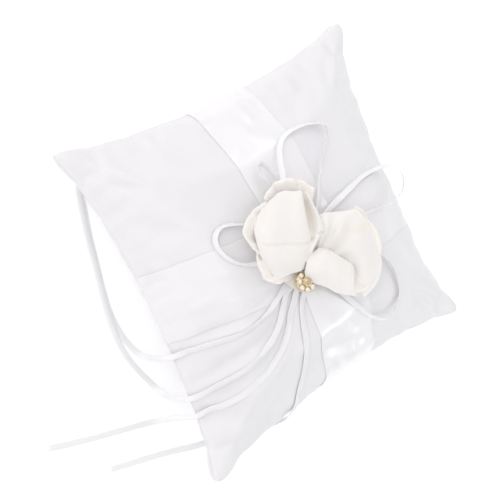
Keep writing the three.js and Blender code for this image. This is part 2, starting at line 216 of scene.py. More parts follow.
def piece_of(name: str, made: bmesh.types.BMesh, materials: Iterable[bpy.types.Material], slot: str,
             *nodes: str, smooth: bool = True) -> bpy.types.Object:
    """Makes a finished bmesh a piece of the pillow.

    Args:
        name: the piece's name.
        made: its bmesh, which is freed.
        materials: its materials, in the order of its faces' material numbers.
        slot: the name of the record's material slot; not used.
        nodes: the CAD nodes that it stands for.
        smooth: whether its faces are shaded smooth.

    Returns:
        The piece, riding on the pillow.
    """
    mesh = bpy.data.meshes.new(name)
    made.to_mesh(mesh)
    made.free()
    for material in materials:
        mesh.materials.append(material)
    mesh.polygons.foreach_set("use_smooth", [smooth] * len(mesh.polygons))
    piece = bpy.data.objects.new(name, mesh)
    bpy.context.scene.collection.objects.link(piece)
    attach(piece, BODY)
    if nodes:
        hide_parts(*nodes)
    return piece


def evaluated_mesh(piece: bpy.types.Object) -> bpy.types.Mesh:
    """A piece's mesh with its modifiers applied."""
    graph = bpy.context.evaluated_depsgraph_get()
    return bpy.data.meshes.new_from_object(piece.evaluated_get(graph))


# ---------------------------------------------------------------- shader helpers


class Nodes:
    """A short way to write a node tree."""

    def __init__(self, tree: bpy.types.NodeTree) -> None:
        """Keeps the tree that is being written."""
        self.tree = tree

    def add(self, kind: str, values: Optional[dict[str, object]] = None,
            **settings: object) -> bpy.types.Node:
        """Adds a node, sets its settings, and sets or links its inputs.

        Args:
            kind: the node's type, without ShaderNode.
            values: its inputs by name or number; an output socket is linked.
            settings: its own settings.

        Returns:
            The node.
        """
        node = self.tree.nodes.new(kind if kind.startswith("Node") else "ShaderNode" + kind)
        for name, value in settings.items():
            setattr(node, name, value)
        for name, value in (values or {}).items():
            if isinstance(value, bpy.types.NodeSocket):
                self.tree.links.new(value, node.inputs[name])
            else:
                node.inputs[name].default_value = value
        return node

    def maths(self, operation: str, *values: object) -> bpy.types.NodeSocket:
        """The result of a Math node."""
        return self.add("Math", dict(enumerate(values)), operation=operation).outputs[0]

    def blend(self, share: object, first: object, second: object, mode: str = "MIX") -> bpy.types.NodeSocket:
        """The colour between two colours."""
        values = {"Fac": share, "Color1": first, "Color2": second}
        return self.add("MixRGB", values, blend_type=mode).outputs[0]


Socket = tuple[str, str]
GROUPS: dict[str, bpy.types.NodeTree] = {}


def effect(name: str, inputs: Sequence[tuple[str, str, float]], outputs: Sequence[Socket],
           build: Callable[[Nodes, bpy.types.Node, bpy.types.Node], None]) -> bpy.types.NodeTree:
    """A shader effect that more than one finish uses, built once.

    Args:
        name: the group's name.
        inputs: each input's name, socket type and usual value.
        outputs: each output's name and socket type.
        build: fills the group, given its nodes, its input node and its output node.

    Returns:
        The node group.
    """
    if name not in GROUPS:
        tree = bpy.data.node_groups.new(name, "ShaderNodeTree")
        for label, kind, usual in inputs:
            socket = tree.interface.new_socket(label, in_out="INPUT", socket_type=kind)
            if kind == "NodeSocketFloat":
                socket.default_value = usual
        for label, kind in outputs:
            tree.interface.new_socket(label, in_out="OUTPUT", socket_type=kind)
        nodes = Nodes(tree)
        build(nodes, nodes.add("NodeGroupInput"), nodes.add("NodeGroupOutput"))
        GROUPS[name] = tree
    return GROUPS[name]


def weave_effect() -> bpy.types.NodeTree:
    """Satin weave: long floats across fine threads, with slight slubs and a cloudy tone.

    Returns:
        The group's node tree.
    """

    def build(nodes: Nodes, given: bpy.types.Node, out: bpy.types.Node) -> None:
        """Fills the weave group.

        Args:
            nodes: the group's nodes.
            given: its input.
            out: its output.
        """
        vector, pitch = given.outputs["Vector"], given.outputs["Threads"]
        scaled = nodes.add("VectorMath", {0: vector, "Scale": pitch}, operation="SCALE").outputs["Vector"]
        warp = nodes.add("TexWave", {"Vector": scaled, "Scale": 1.0, "Distortion": 0.6, "Detail": 1.0},
                         bands_direction="X").outputs["Fac"]
        weft = nodes.add("TexWave", {"Vector": scaled, "Scale": 0.35, "Distortion": 1.2, "Detail": 1.0},
                         bands_direction="Y").outputs["Fac"]
        slub = nodes.add("TexNoise", {"Vector": vector, "Scale": 260.0, "Detail": 3.0}).outputs["Fac"]
        cloud = nodes.add("TexNoise", {"Vector": vector, "Scale": 38.0, "Detail": 2.0}).outputs["Fac"]
        threads = nodes.maths("MULTIPLY_ADD", warp, 0.6, nodes.maths("MULTIPLY", weft, 0.25))
        nodes.tree.links.new(nodes.maths("MULTIPLY_ADD", slub, 0.1, threads), out.inputs["Height"])
        nodes.tree.links.new(cloud, out.inputs["Cloud"])
        nodes.tree.links.new(nodes.maths("MULTIPLY_ADD", slub, 0.6, nodes.maths("MULTIPLY", warp, 0.4)),
                             out.inputs["Slub"])

    return effect("satin_weave", [("Vector", "NodeSocketVector", 0), ("Threads", "NodeSocketFloat", 900)],
                  [("Height", "NodeSocketFloat"), ("Cloud", "NodeSocketFloat"), ("Slub", "NodeSocketFloat")],
                  build)


def selvedge_effect() -> bpy.types.NodeTree:
    """The two woven edges of a ribbon, found from how far across the ribbon a point is.

    Returns:
        The group's node tree.
    """

    def build(nodes: Nodes, given: bpy.types.Node, out: bpy.types.Node) -> None:
        """Fills the selvedge group.

        Args:
            nodes: the group's nodes.
            given: its input.
            out: its output.
        """
        across = nodes.add("SeparateXYZ", {0: given.outputs["Vector"]}).outputs["X"]
        rest = nodes.maths("SUBTRACT", given.outputs["Width"], across)
        nearest = nodes.maths("MINIMUM", across, rest)
        share = nodes.maths("DIVIDE", nearest, given.outputs["Edge"])
        mask = nodes.maths("SUBTRACT", 1.0, nodes.maths("MINIMUM", share, 1.0))
        nodes.tree.links.new(mask, out.inputs["Mask"])

    return effect("ribbon_selvedge",
                  [("Vector", "NodeSocketVector", 0), ("Width", "NodeSocketFloat", 0.003),
                   ("Edge", "NodeSocketFloat", 0.0004)],
                  [("Mask", "NodeSocketFloat")], build)


def fibre_effect() -> bpy.types.NodeTree:
    """Loose fibres: tangled streaks over soft lumps, for felt, thread and filling.

    Returns:
        The group's node tree.
    """

    def build(nodes: Nodes, given: bpy.types.Node, out: bpy.types.Node) -> None:
        """Fills the fibre group.

        Args:
            nodes: the group's nodes.
            given: its input.
            out: its output.
        """
        vector, size = given.outputs["Vector"], given.outputs["Fineness"]
        tangle = nodes.add("TexNoise", {"Vector": vector, "Scale": size, "Detail": 6.0, "Distortion": 2.5})
        lumps = nodes.add("TexNoise", {"Vector": vector, "Scale": 60.0, "Detail": 2.0}).outputs["Fac"]
        streak = nodes.maths("PINGPONG", nodes.maths("MULTIPLY", tangle.outputs["Fac"], 6.0), 1.0)
        nodes.tree.links.new(streak, out.inputs["Strands"])
        nodes.tree.links.new(nodes.maths("MULTIPLY_ADD", lumps, 0.6, nodes.maths("MULTIPLY", streak, 0.4)),
                             out.inputs["Height"])

    return effect("loose_fibre", [("Vector", "NodeSocketVector", 0), ("Fineness", "NodeSocketFloat", 900)],
                  [("Strands", "NodeSocketFloat"), ("Height", "NodeSocketFloat")], build)


def rgba(colour: Sequence[float]) -> tuple[float, float, float, float]:
    """A colour with full opacity."""
    return (colour[0], colour[1], colour[2], 1.0)


# ---------------------------------------------------------------- finishes


@dataclass(frozen=True)
class Finish:
    """What every finish has.

    Args:
        name: the material's name.
        colour: its main colour.
        roughness: its main roughness.
    """

    name: str
    colour: tuple[float, float, float]
    roughness: float

    def material(self) -> bpy.types.Material:
        """The finish's material, made the first time that it is asked for.

        Returns:
            The material.
        """
        found = bpy.data.materials.get(self.name)
        if found:
            return found
        made = bpy.data.materials.new(self.name)
        made.use_nodes = True
        made.node_tree.nodes.clear()
        nodes = Nodes(made.node_tree)
        shader = nodes.add("BsdfPrincipled", {"Base Color": rgba(self.colour), "Roughness": self.roughness})
        out = nodes.add("OutputMaterial")
        nodes.tree.links.new(shader.outputs[0], out.inputs["Surface"])
        self.dress(nodes, shader)
        made.diffuse_color = rgba(self.colour)
        return made

    def dress(self, nodes: Nodes, shader: bpy.types.Node) -> None:
        """Gives the material its detail; each kind of finish has its own."""

    def place(self, nodes: Nodes, on_cloth: bool) -> bpy.types.NodeSocket:
        """Where the pattern is read.

        Args:
            nodes: the material's nodes.
            on_cloth: whether it follows the cloth's own UV map, or Object coordinates.

        Returns:
            The socket of the coordinates.
        """
        if on_cloth:
            return nodes.add("UVMap", uv_map="cloth").outputs[0]
        return nodes.add("TexCoord").outputs["Object"]


@dataclass(frozen=True)
class Satin(Finish):
    """Woven satin, from dull bridal satin to glossy ribbon.

    Args:
        shade: the colour that its cloudy tone runs to.
        threads: how close its threads are.
        relief: how high they stand, in metres.
        sheen: the strength of its sheen.
        gloss: the strength of its shine.
        lustre: the strength of the clear shine over it.
        on_cloth: whether the weave follows the cloth, or the pillow.
        width: the ribbon's width between its selvedges, or 0 without them.
        fold_shade_tint: a yellowish painted shade multiplied into its deepest folds, standing in for light
            bounced inside them, if any.
        glow: how much light passes into it.
        coat_index: the refractive index of the clear shine.
    """

    shade: tuple[float, float, float]
    threads: float = 900.0
    relief: float = 0.00004
    sheen: float = 0.25
    gloss: float = 0.5
    lustre: float = 0.0
    on_cloth: bool = True
    width: float = 0.0
    fold_shade_tint: Optional[tuple[float, float, float]] = None
    glow: float = 0.0
    coat_index: float = 1.5

    def dress(self, nodes: Nodes, shader: bpy.types.Node) -> None:
        """Adds the weave, the cloudy tone, the selvedges and a painted yellowish shade inside deep folds.

        Args:
            nodes: the material's nodes.
            shader: its Principled BSDF.
        """
        vector = self.place(nodes, self.on_cloth)
        weave = nodes.add("Group", node_tree=weave_effect())
        nodes.tree.links.new(vector, weave.inputs["Vector"])
        weave.inputs["Threads"].default_value = self.threads
        colour = nodes.blend(weave.outputs["Cloud"], rgba(self.colour), rgba(self.shade))
        height = weave.outputs["Height"]
        if self.width:
            edge = nodes.add("Group", {"Vector": vector, "Width": self.width, "Edge": 0.0004},
                             node_tree=selvedge_effect()).outputs["Mask"]
            colour = nodes.blend(nodes.maths("MULTIPLY", edge, 0.35), colour, (1.0, 1.0, 1.0, 1.0))
            height = nodes.maths("MULTIPLY_ADD", edge, 2.5, height)
        # painted shade: a yellowish tint multiplied in where fold_depth marks deep folds, in place of light
        # bounced inside them
        if self.fold_shade_tint:
            depth = nodes.add("Attribute", attribute_name="fold_depth").outputs["Fac"]
            colour = nodes.blend(depth, colour, rgba(self.fold_shade_tint), "MULTIPLY")
        nodes.tree.links.new(colour, shader.inputs["Base Color"])
        rough = nodes.add("MapRange", {"Value": weave.outputs["Slub"], "To Min": self.roughness * 0.95,
                                       "To Max": self.roughness * 1.07})
        nodes.tree.links.new(rough.outputs[0], shader.inputs["Roughness"])
        bump = nodes.add("Bump", {"Height": height, "Strength": 0.6, "Distance": self.relief})
        nodes.tree.links.new(bump.outputs[0], shader.inputs["Normal"])
        shader.inputs["Sheen Weight"].default_value = self.sheen
        shader.inputs["Sheen Roughness"].default_value = 0.4
        shader.inputs["Specular IOR Level"].default_value = self.gloss
        shader.inputs["Coat Weight"].default_value = self.lustre
        shader.inputs["Coat Roughness"].default_value = 0.3
        shader.inputs["Coat IOR"].default_value = self.coat_index
        shader.inputs["Subsurface Weight"].default_value = self.glow
        shader.inputs["Subsurface Radius"].default_value = (1.0, 0.95, 0.9)
        shader.inputs["Subsurface Scale"].default_value = 0.0012


@dataclass(frozen=True)
class Organza(Finish):
    """Sheer crisp cloth that shows what is under it.

    Args:
        cover: the share of it that threads fill.
    """

    cover: float = 0.42

    def dress(self, nodes: Nodes, shader: bpy.types.Node) -> None:
        """Opens the cloth between its threads, with a denser rolled rim.

        Args:
            nodes: the material's nodes.
            shader: its Principled BSDF.
        """
        vector = self.place(nodes, True)
        weave = nodes.add("Group", node_tree=weave_effect())
        nodes.tree.links.new(vector, weave.inputs["Vector"])
        weave.inputs["Threads"].default_value = 1400.0
        rim = nodes.add("Attribute", attribute_name="fold_depth").outputs["Fac"]
        cover = nodes.maths("MULTIPLY_ADD", weave.outputs["Slub"], 0.22, self.cover)
        alpha = nodes.maths("MINIMUM", nodes.maths("MULTIPLY_ADD", rim, 0.5, cover), 1.0)
        nodes.tree.links.new(alpha, shader.inputs["Alpha"])
        colour = nodes.blend(weave.outputs["Cloud"], rgba(self.colour), (1.0, 0.95, 0.87, 1.0))
        nodes.tree.links.new(colour, shader.inputs["Base Color"])
        bump = nodes.add("Bump", {"Height": weave.outputs["Height"], "Strength": 0.4, "Distance": 0.00003})
        nodes.tree.links.new(bump.outputs[0], shader.inputs["Normal"])
        shader.inputs["Sheen Weight"].default_value = 0.5


@dataclass(frozen=True)
class Fibre(Finish):
    """Felt, thread or loose filling.

    Args:
        fineness: how fine its strands are.
        relief: how high they stand, in metres.
    """

    fineness: float = 900.0
    relief: float = 0.0002

    def dress(self, nodes: Nodes, shader: bpy.types.Node) -> None:
        """Adds tangled strands in colour and relief.

        Args:
            nodes: the material's nodes.
            shader: its Principled BSDF.
        """
        group = nodes.add("Group", node_tree=fibre_effect())
        nodes.tree.links.new(self.place(nodes, False), group.inputs["Vector"])
        group.inputs["Fineness"].default_value = self.fineness
        dark = rgba([c * 0.86 for c in self.colour])
        nodes.tree.links.new(nodes.blend(group.outputs["Strands"], dark, rgba(self.colour)),
                             shader.inputs["Base Color"])
        height = group.outputs["Height"]
        bump = nodes.add("Bump", {"Height": height, "Strength": 0.8, "Distance": self.relief})
        nodes.tree.links.new(bump.outputs[0], shader.inputs["Normal"])
        shader.inputs["Sheen Weight"].default_value = 0.4


@dataclass(frozen=True)
class Plate(Finish):
    """Thin metal plating over a casting, a little uneven and duller in places.

    Args:
        dull: its colour in the duller places.
    """

    dull: tuple[float, float, float] = (0.5, 0.33, 0.13)

    def dress(self, nodes: Nodes, shader: bpy.types.Node) -> None:
        """Adds the uneven casting and the duller hollows.

        Args:
            nodes: the material's nodes.
            shader: its Principled BSDF.
        """
        vector = self.place(nodes, False)
        uneven = nodes.add("TexNoise", {"Vector": vector, "Scale": 900.0, "Detail": 3.0}).outputs["Fac"]
        blotch = nodes.add("TexNoise", {"Vector": vector, "Scale": 260.0, "Detail": 2.0}).outputs["Fac"]
        spread = nodes.add("MapRange", {"Value": blotch, "From Min": 0.4, "From Max": 0.75}).outputs[0]
        colour = nodes.blend(spread, rgba(self.colour), rgba(self.dull))
        nodes.tree.links.new(colour, shader.inputs["Base Color"])
        rough = nodes.add("MapRange", {"Value": blotch, "To Min": self.roughness * 0.6,
                                       "To Max": self.roughness * 1.6})
        nodes.tree.links.new(rough.outputs[0], shader.inputs["Roughness"])
        bump = nodes.add("Bump", {"Height": uneven, "Strength": 0.3, "Distance": 0.0001})
        nodes.tree.links.new(bump.outputs[0], shader.inputs["Normal"])
        shader.inputs["Metallic"].default_value = 1.0


@dataclass(frozen=True)
class Stone(Finish):
    """Cut glass with a foiled back.

    Args:
        index: its refractive index.
        foiled: how much of what it shows is the foil's reflection.
    """

    index: float = 1.58
    foiled: float = 0.6

    def dress(self, nodes: Nodes, shader: bpy.types.Node) -> None:
        """Makes it clear glass with a slightly varied tint.

        Args:
            nodes: the material's nodes.
            shader: its Principled BSDF.
        """
        vector = self.place(nodes, False)
        tint = nodes.add("TexNoise", {"Vector": vector, "Scale": 420.0, "Detail": 1.0}).outputs["Fac"]
        paler = rgba([min(1.0, c * 1.1 + 0.02) for c in self.colour])
        nodes.tree.links.new(nodes.blend(tint, rgba(self.colour), paler), shader.inputs["Base Color"])
        shader.inputs["Transmission Weight"].default_value = 0.2
        shader.inputs["Metallic"].default_value = self.foiled
        shader.inputs["IOR"].default_value = self.index


PILLOW = Satin("bridal_satin", (0.795, 0.792, 0.806), 0.4, (0.825, 0.819, 0.832), threads=2200.0, sheen=0.2,
               gloss=0.4, on_cloth=False)
WIDE = Satin("wide_ribbon_satin", (0.84, 0.834, 0.846), 0.3, (0.87, 0.863, 0.872), threads=2400.0, sheen=0.1,
             gloss=1.0, lustre=1.0, width=0.041, coat_index=2.0)
UNDER = Satin("under_ribbon_satin", (0.82, 0.814, 0.826), 0.36, (0.85, 0.842, 0.852), threads=2400.0,
              sheen=0.2, gloss=0.5, width=0.041)
NARROW = Satin("narrow_ribbon_satin", (0.88, 0.874, 0.884), 0.28, (0.91, 0.904, 0.912), threads=2600.0,
               sheen=0.2, gloss=0.8, lustre=0.3, width=0.003, glow=0.5)
# the petals' fold tint is a painted shade for the light bounced inside their folds
IVORY = Satin("petal_satin", (0.885, 0.861, 0.822), 0.38, (0.905, 0.879, 0.835), threads=2200.0, sheen=0.3,
              gloss=0.5, fold_shade_tint=(1.0, 0.98, 0.93), glow=0.25)
ORGANZA = Organza("cream_organza", (0.95, 0.93, 0.9), 0.5, cover=0.5)
FELT = Fibre("backing_felt", (0.88, 0.84, 0.78), 0.9, 1400.0, 0.0002)
THREAD = Fibre("sewing_thread", (0.9, 0.89, 0.92), 0.6, 3000.0, 0.00006)
FILLING = Fibre("polyester_fibre", (0.92, 0.92, 0.92), 0.95, 420.0, 0.0012)
GOLD = Plate("gold_plate", (0.92, 0.8, 0.57), 0.28, dull=(0.84, 0.68, 0.42))
CLEAR_GLASS = Stone("clear_stone_glass", (0.98, 0.98, 1.0), 0.03)
AMBER_GLASS = Stone("golden_stone_glass", (0.62, 0.5, 0.33), 0.06)
FOIL = Plate("stone_foil", (0.95, 0.93, 0.9), 0.15, dull=(0.82, 0.78, 0.7))


# ---------------------------------------------------------------- the pillow's form


@dataclass
class PillowForm:
    """The stuffed pillow's shape, which every piece on it is laid to.

    Args:
        edge_pull: how far each edge pulls in at its middle.
        half: half of the side, from corner to corner.
        seam: the height of the edge seam.
        loft: how far the front rises above the seam.
    """

    edge_pull: float = 0.010
    half: float = field(init=False)
    seam: float = field(init=False)
    loft: float = field(init=False)

    def __post_init__(self) -> None:
        """Reads the form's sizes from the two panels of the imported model."""
        front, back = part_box("cover_front"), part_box("cover_back")
        self.half = front[1].x
        self.seam = (front[0].z + back[1].z) / 2
        self.loft = front[1].z - front[0].z

    def point(self, u: float, v: float, facing: int, lift: float = 0.0) -> Vector:
        """The point at u and v, from -1 to 1 between the edges.

        Args:
            u: the share across, along X.
            v: the share across, along Y.
            facing: 1 on the front panel, -1 on the back one.
            lift: how far outside the surface.

        Returns:
            The point.
        """
        open_u, open_v = max(0.0, 1 - u * u), max(0.0, 1 - v * v)
        bulge = math.sqrt(open_u * open_v)
        place = Vector((u * (self.half - self.edge_pull * open_v), v * (self.half - self.edge_pull * open_u),
                        self.seam + facing * self.loft * bulge))
        return place + self.outward(u, v, facing) * lift

    def outward(self, u: float, v: float, facing: int) -> Vector:
        """The direction straight out of the surface at u and v.

        Args:
            u: the share across, along X.
            v: the share across, along Y.
            facing: 1 on the front panel, -1 on the back one.

        Returns:
            The direction, of length 1.
        """
        open_u, open_v = max(0.0, 1 - u * u), max(0.0, 1 - v * v)
        bulge = math.sqrt(open_u * open_v)
        direction = Vector((u * open_v / self.half, v * open_u / self.half, facing * bulge / self.loft))
        return direction.normalized() if direction.length > 1e-6 else Vector((u, v, 0)).normalized()


@dataclass(frozen=True)
class Fold:
    """A fold pressed into cloth along a line on its plan.

    Args:
        line: the fold's points in millimetres, in plan.
        height: how far it stands up, or sinks where negative, in millimetres.
        half_width: its half width, in millimetres.
    """

    line: Sequence[Place]
    height: float
    half_width: float

    def rise(self, x: np.ndarray, y: np.ndarray) -> np.ndarray:
        """How far the fold lifts the cloth at each place.

        Args:
            x: places along X, in metres.
            y: places along Y, in metres.

        Returns:
            The lift at each place, in metres.
        """
        points = np.array(self.line, float) * MM
        spans = np.linalg.norm(np.diff(points, axis=0), axis=1)
        starts = np.concatenate([[0.0], np.cumsum(spans)])
        nearest, along = np.full(x.shape, 1e9), np.zeros(x.shape)
        for (a, b), span, start in zip(zip(points, points[1:]), spans, starts):
            way = (b - a) / span
            share = np.clip((x - a[0]) * way[0] + (y - a[1]) * way[1], 0, span)
            distance = np.hypot(x - a[0] - way[0] * share, y - a[1] - way[1] * share)
            closer = distance < nearest
            nearest = np.where(closer, distance, nearest)
            along = np.where(closer, (start + share) / starts[-1], along)
        ends = np.sin(np.pi * np.clip(along, 0, 1)) ** 0.6
        return self.height * MM * ends * np.exp(-((nearest / (self.half_width * MM)) ** 2))


class Skin:
    """A surface that other pieces are laid on."""

    def __init__(self, *pieces: bpy.types.Object) -> None:
        """Joins the pieces' own meshes, as they are before their modifiers.

        Args:
            pieces: the pieces to join.
        """
        joined = bmesh.new()
        for piece in pieces:
            joined.from_mesh(piece.data)
        self.tree = BVHTree.FromBMesh(joined)
        joined.free()

    def from_outside(self, near: Vector, outward: Vector, reach: float = 0.03) -> Optional[Vector]:
        """The first place met from outside, looking straight in."""
        hit = self.tree.ray_cast(near + outward * reach, -outward, 2 * reach)
        return hit[0]

    def top(self, x: float, y: float) -> float:
        """The height of the surface over a place in plan, or 0 off it."""
        hit = self.tree.ray_cast(Vector((x, y, 0.2)), -UP)
        return hit[0].z if hit[0] else 0.0

    def kept_off(self, place: Vector, low: float, high: float) -> Vector:
        """A place moved straight out or in, so that it lies between two distances from the surface.

        Args:
            place: the place.
            low: the nearest that it may lie.
            high: the furthest.

        Returns:
            The moved place.
        """
        found, normal, _, _ = self.tree.find_nearest(place)
        away = (place - found).dot(normal)
        return found + normal * min(max(away, low), high)


# ---------------------------------------------------------------- cushion


@dataclass
class Cushion:
    """The stuffed cover: two satin panels sewn round the edge, the fibre in them and the stitches.

    Args:
        form: the pillow's shape.
        steps: faces along each side of a panel, before it is subdivided.
        slack: how much lower than full the empty bag starts.
        swell: how much the cloth stretches as it fills, as a share.
        pressure: the pressure of the filling.
        frames: how long it fills for.
        cap: how far a point may move meanwhile.
        calming: how often neighbours are averaged to tell the broad swell from the creases.
        panel: the panels' thickness.
        seam_lip: how far the edges roll beside the seam.
        deepest: how high or deep overlapping folds can be.
        fold_fade: the height over the seam above which folds have their full depth.
        rest_fade: the height over the table above which they have it on the back.
        ear: how much the corners plump up.
        ear_middle: how far from its tip a corner is plumpest.
        ear_spread: how far that reaches.
        ear_reach: how much of each corner the filling leaves alone.
        ear_round: how much the very tips are rounded off.
        ear_pull: how far the corners are pulled out.
        pull_spread: how far from the tips that reaches.
        sway: how much the seam wanders in and out.
        ride: how much it wanders up and down.
        lowest: how far over the table the back lies.
        stitch: the stitches' pitch.
        seed: the seed for the puckers.
        drag_folds: the folds that the ribbons and the filling drag into the front.
    """

    form: PillowForm
    steps: int = 80
    slack: float = 0.0035
    swell: float = 0.022
    pressure: float = 2.5
    frames: int = 18
    cap: float = 0.006
    calming: int = 40
    panel: float = 0.0004
    seam_lip: float = 0.0005
    deepest: float = 0.0028
    fold_fade: float = 0.006
    rest_fade: float = 0.008
    ear: float = 0.0042
    ear_middle: float = 0.006
    ear_spread: float = 0.009
    ear_reach: float = 0.015
    ear_round: float = 0.0012
    ear_pull: float = 0.0036
    pull_spread: float = 0.014
    sway: float = 0.0011
    ride: float = 0.0008
    lowest: float = 0.00025
    stitch: float = 0.0026
    seed: int = 7

    drag_folds: Sequence[Fold] = (
        Fold(((12, -24), (17, -38), (20, -52), (20, -68), (18, -82)), -2.4, 3.6),
        Fold(((15, -24), (22, -38), (25, -54), (25, -70), (22, -86)), 1.6, 2.6),
        Fold(((17, -22), (28, -33), (36, -46), (40, -62), (41, -78), (41, -90)), -3.4, 4.2),
        Fold(((18, -22), (31, -33), (41, -46), (46, -62), (48, -80)), 1.8, 2.6),
        Fold(((20, -20), (33, -29), (46, -42), (53, -58), (56, -74), (56, -88)), -3.2, 3.8),
        Fold(((22, -19), (38, -28), (52, -42), (61, -58), (66, -76)), 1.8, 3.6),
        Fold(((24, -16), (44, -27), (62, -42), (76, -62), (84, -80)), -0.9, 6.0),
        Fold(((60, -96), (66, -86), (72, -78), (80, -74)), -1.4, 4.0),
        Fold(((-40, 52), (-48, 60), (-60, 66), (-80, 76)), -0.8, 5.0),
        Fold(((34, 40), (48, 52), (64, 62), (82, 74)), -0.8, 6.0),
        Fold(((-38, -40), (-52, -54), (-66, -66), (-82, -78)), -0.7, 6.0),
        Fold(((-2, 30), (-6, 52), (-4, 74), (-2, 92)), -0.8, 5.0),
        Fold(((-30, -48), (-34, -62), (-34, -76), (-32, -90)), 0.7, 5.0),
    )

    def corner_folds(self) -> list[Fold]:
        """Pinches beside each corner, where the filling can't reach.

        Returns:
            The folds.
        """
        folds = []
        for sx in (-1, 1):
            for sy in (-1, 1):
                folds += [
                    Fold(((sx * 88, sy * 77), (sx * 80, sy * 72), (sx * 68, sy * 62)), -1.5, 3.5),
                    Fold(((sx * 77, sy * 88), (sx * 72, sy * 80), (sx * 62, sy * 68)), -1.5, 3.5),
                    Fold(((sx * 90, sy * 90), (sx * 78, sy * 78), (sx * 62, sy * 61)), 1.3, 3.5),
                ]
        return folds

    def edge_puckers(self, side: int) -> list[Fold]:
        """Short puckers that run in from the seam, as hand-turned satin has.

        Args:
            side: 1 for the front panel, -1 for the back one, which pucker differently.

        Returns:
            The puckers.
        """
        chance = random.Random(self.seed + side)
        folds = []
        for edge in range(4):
            at = -76.0
            while at < 76:
                reach = chance.uniform(9, 22)
                lean = chance.uniform(-4, 4)
                height = chance.choice((-1, 1)) * chance.uniform(0.35, 0.85)
                width = chance.uniform(1.8, 3.4)
                rim = 100 - 10 * (1 - (at / 100) ** 2)
                line = [(at, rim), (at + lean * 0.5, rim - reach * 0.5), (at + lean, rim - reach)]
                turn = Matrix.Rotation(edge * math.pi / 2, 2)
                folds.append(Fold([tuple(turn @ Vector(p)) for p in line], height, width))
                at += chance.uniform(6, 13)
        return folds

    def closed_form(self) -> bmesh.types.BMesh:
        """Both panels as one closed bag, joined at the seam, with their faces marked by panel.

        Returns:
            The bag.
        """
        bag = bmesh.new()
        for facing in (1, -1):
            sag = self.slack

            def place(s: float, t: float) -> Vector:
                """The point of this panel before it is stuffed.

                Args:
                    s: the share across, along X, from 0 to 1.
                    t: the share along Y.

                Returns:
                    The point.
                """
                point = self.form.point(wave(s), wave(t), facing)
                point.z -= (point.z - self.form.seam) * sag / self.form.loft
                return point

            half = bent_grid(self.steps, self.steps, place)
            if facing < 0:
                bmesh.ops.reverse_faces(half, faces=half.faces)
            for face in half.faces:
                face.material_index = 0 if facing > 0 else 1
            mesh = bpy.data.meshes.new("half")
            half.to_mesh(mesh)
            half.free()
            bag.from_mesh(mesh)
            bpy.data.meshes.remove(mesh)
        bmesh.ops.remove_doubles(bag, verts=bag.verts, dist=1e-6)
        return bag

    def inflate(self, mesh: bpy.types.Mesh) -> None:
        """Lets the bag swell as cloth under pressure, and keeps the creases that this gives it.

        Args:
            mesh: the bag, which is changed.
        """
        scene = bpy.context.scene
        bag = bpy.data.objects.new("bag", mesh)
        scene.collection.objects.link(bag)
        held = bag.vertex_groups.new(name="held")
        half, seam = self.form.half, self.form.seam
        edge = [v.index for v in mesh.vertices if abs(v.co.z - seam) < 1e-5
                or math.hypot(half - abs(v.co.x), half - abs(v.co.y)) < self.ear_reach]
        held.add(edge, 1.0, "REPLACE")
        cloth = bag.modifiers.new("Cloth", "CLOTH")
        settings = cloth.settings
        settings.quality = 5
        settings.mass = 0.15
        settings.tension_stiffness = 18
        settings.compression_stiffness = 18
        settings.shear_stiffness = 6
        settings.bending_stiffness = 0.35
        settings.air_damping = 4
        settings.use_pressure = True
        settings.uniform_pressure_force = self.pressure
        settings.shrink_min = -self.swell
        settings.vertex_group_mass = "held"
        settings.effector_weights.gravity = 0
        cloth.point_cache.frame_start = 1
        cloth.point_cache.frame_end = self.frames
        for step in range(1, self.frames + 1):
            scene.frame_set(step)
        swollen = evaluated_mesh(bag)
        start = np.array([vert.co[:] for vert in mesh.vertices])
        moved = np.array([vert.co[:] for vert in swollen.vertices]) - start
        moved *= np.minimum(1, self.cap / np.maximum(np.linalg.norm(moved, axis=1), 1e-9))[:, None]
        broad = moved.copy()
        ends = np.array([edge.vertices[:] for edge in mesh.edges])
        ways = np.bincount(ends.ravel(), minlength=len(start))[:, None]
        for _ in range(self.calming):
            total = np.zeros_like(broad)
            np.add.at(total, ends[:, 0], broad[ends[:, 1]])
            np.add.at(total, ends[:, 1], broad[ends[:, 0]])
            broad = total / ways
            broad[edge] = 0
        start[:, 2] = seam + (start[:, 2] - seam) / (1 - self.slack / self.form.loft)
        start += moved - broad
        mesh.vertices.foreach_set("co", start.ravel())
        mesh.update()
        LOG.info("cover creased by up to %.1f mm", np.abs(moved - broad).max() * 1000)
        bpy.data.meshes.remove(swollen)
        bpy.data.objects.remove(bag)
        scene.frame_set(1)

    def smooth_bag(self, mesh: bpy.types.Mesh) -> bpy.types.Mesh:
        """The bag with one subdivision.

        Args:
            mesh: the bag.

        Returns:
            The finer bag.
        """
        bag = bpy.data.objects.new("bag", mesh)
        bpy.context.scene.collection.objects.link(bag)
        subdivide(bag)
        fine = evaluated_mesh(bag)
        bpy.data.objects.remove(bag)
        return fine

    def sculpt(self, mesh: bpy.types.Mesh, facing: int) -> None:
        """Presses the folds, the ears and the seam lip into one panel.

        Args:
            mesh: the panel's mesh, which is changed.
            facing: 1 for the front panel, -1 for the back one.
        """
        count = len(mesh.vertices)
        co = np.zeros(count * 3)
        mesh.vertices.foreach_get("co", co)
        co = co.reshape(-1, 3)
        normal = np.zeros(count * 3)
        mesh.vertices.foreach_get("normal", normal)
        normal = normal.reshape(-1, 3)
        x, y = co[:, 0], co[:, 1]
        folds = [*self.corner_folds(), *self.edge_puckers(facing)]
        if facing > 0:
            folds += self.drag_folds
        rise = sum(fold.rise(x, y) for fold in folds)
        above = np.abs(co[:, 2] - self.form.seam)
        rise = self.deepest * np.tanh(rise / self.deepest)
        rise *= np.clip(above / self.fold_fade, 0, 1) ** 0.7
        if facing < 0:
            rise *= np.clip(co[:, 2] / self.rest_fade, 0, 1)
        co += normal * rise[:, None]

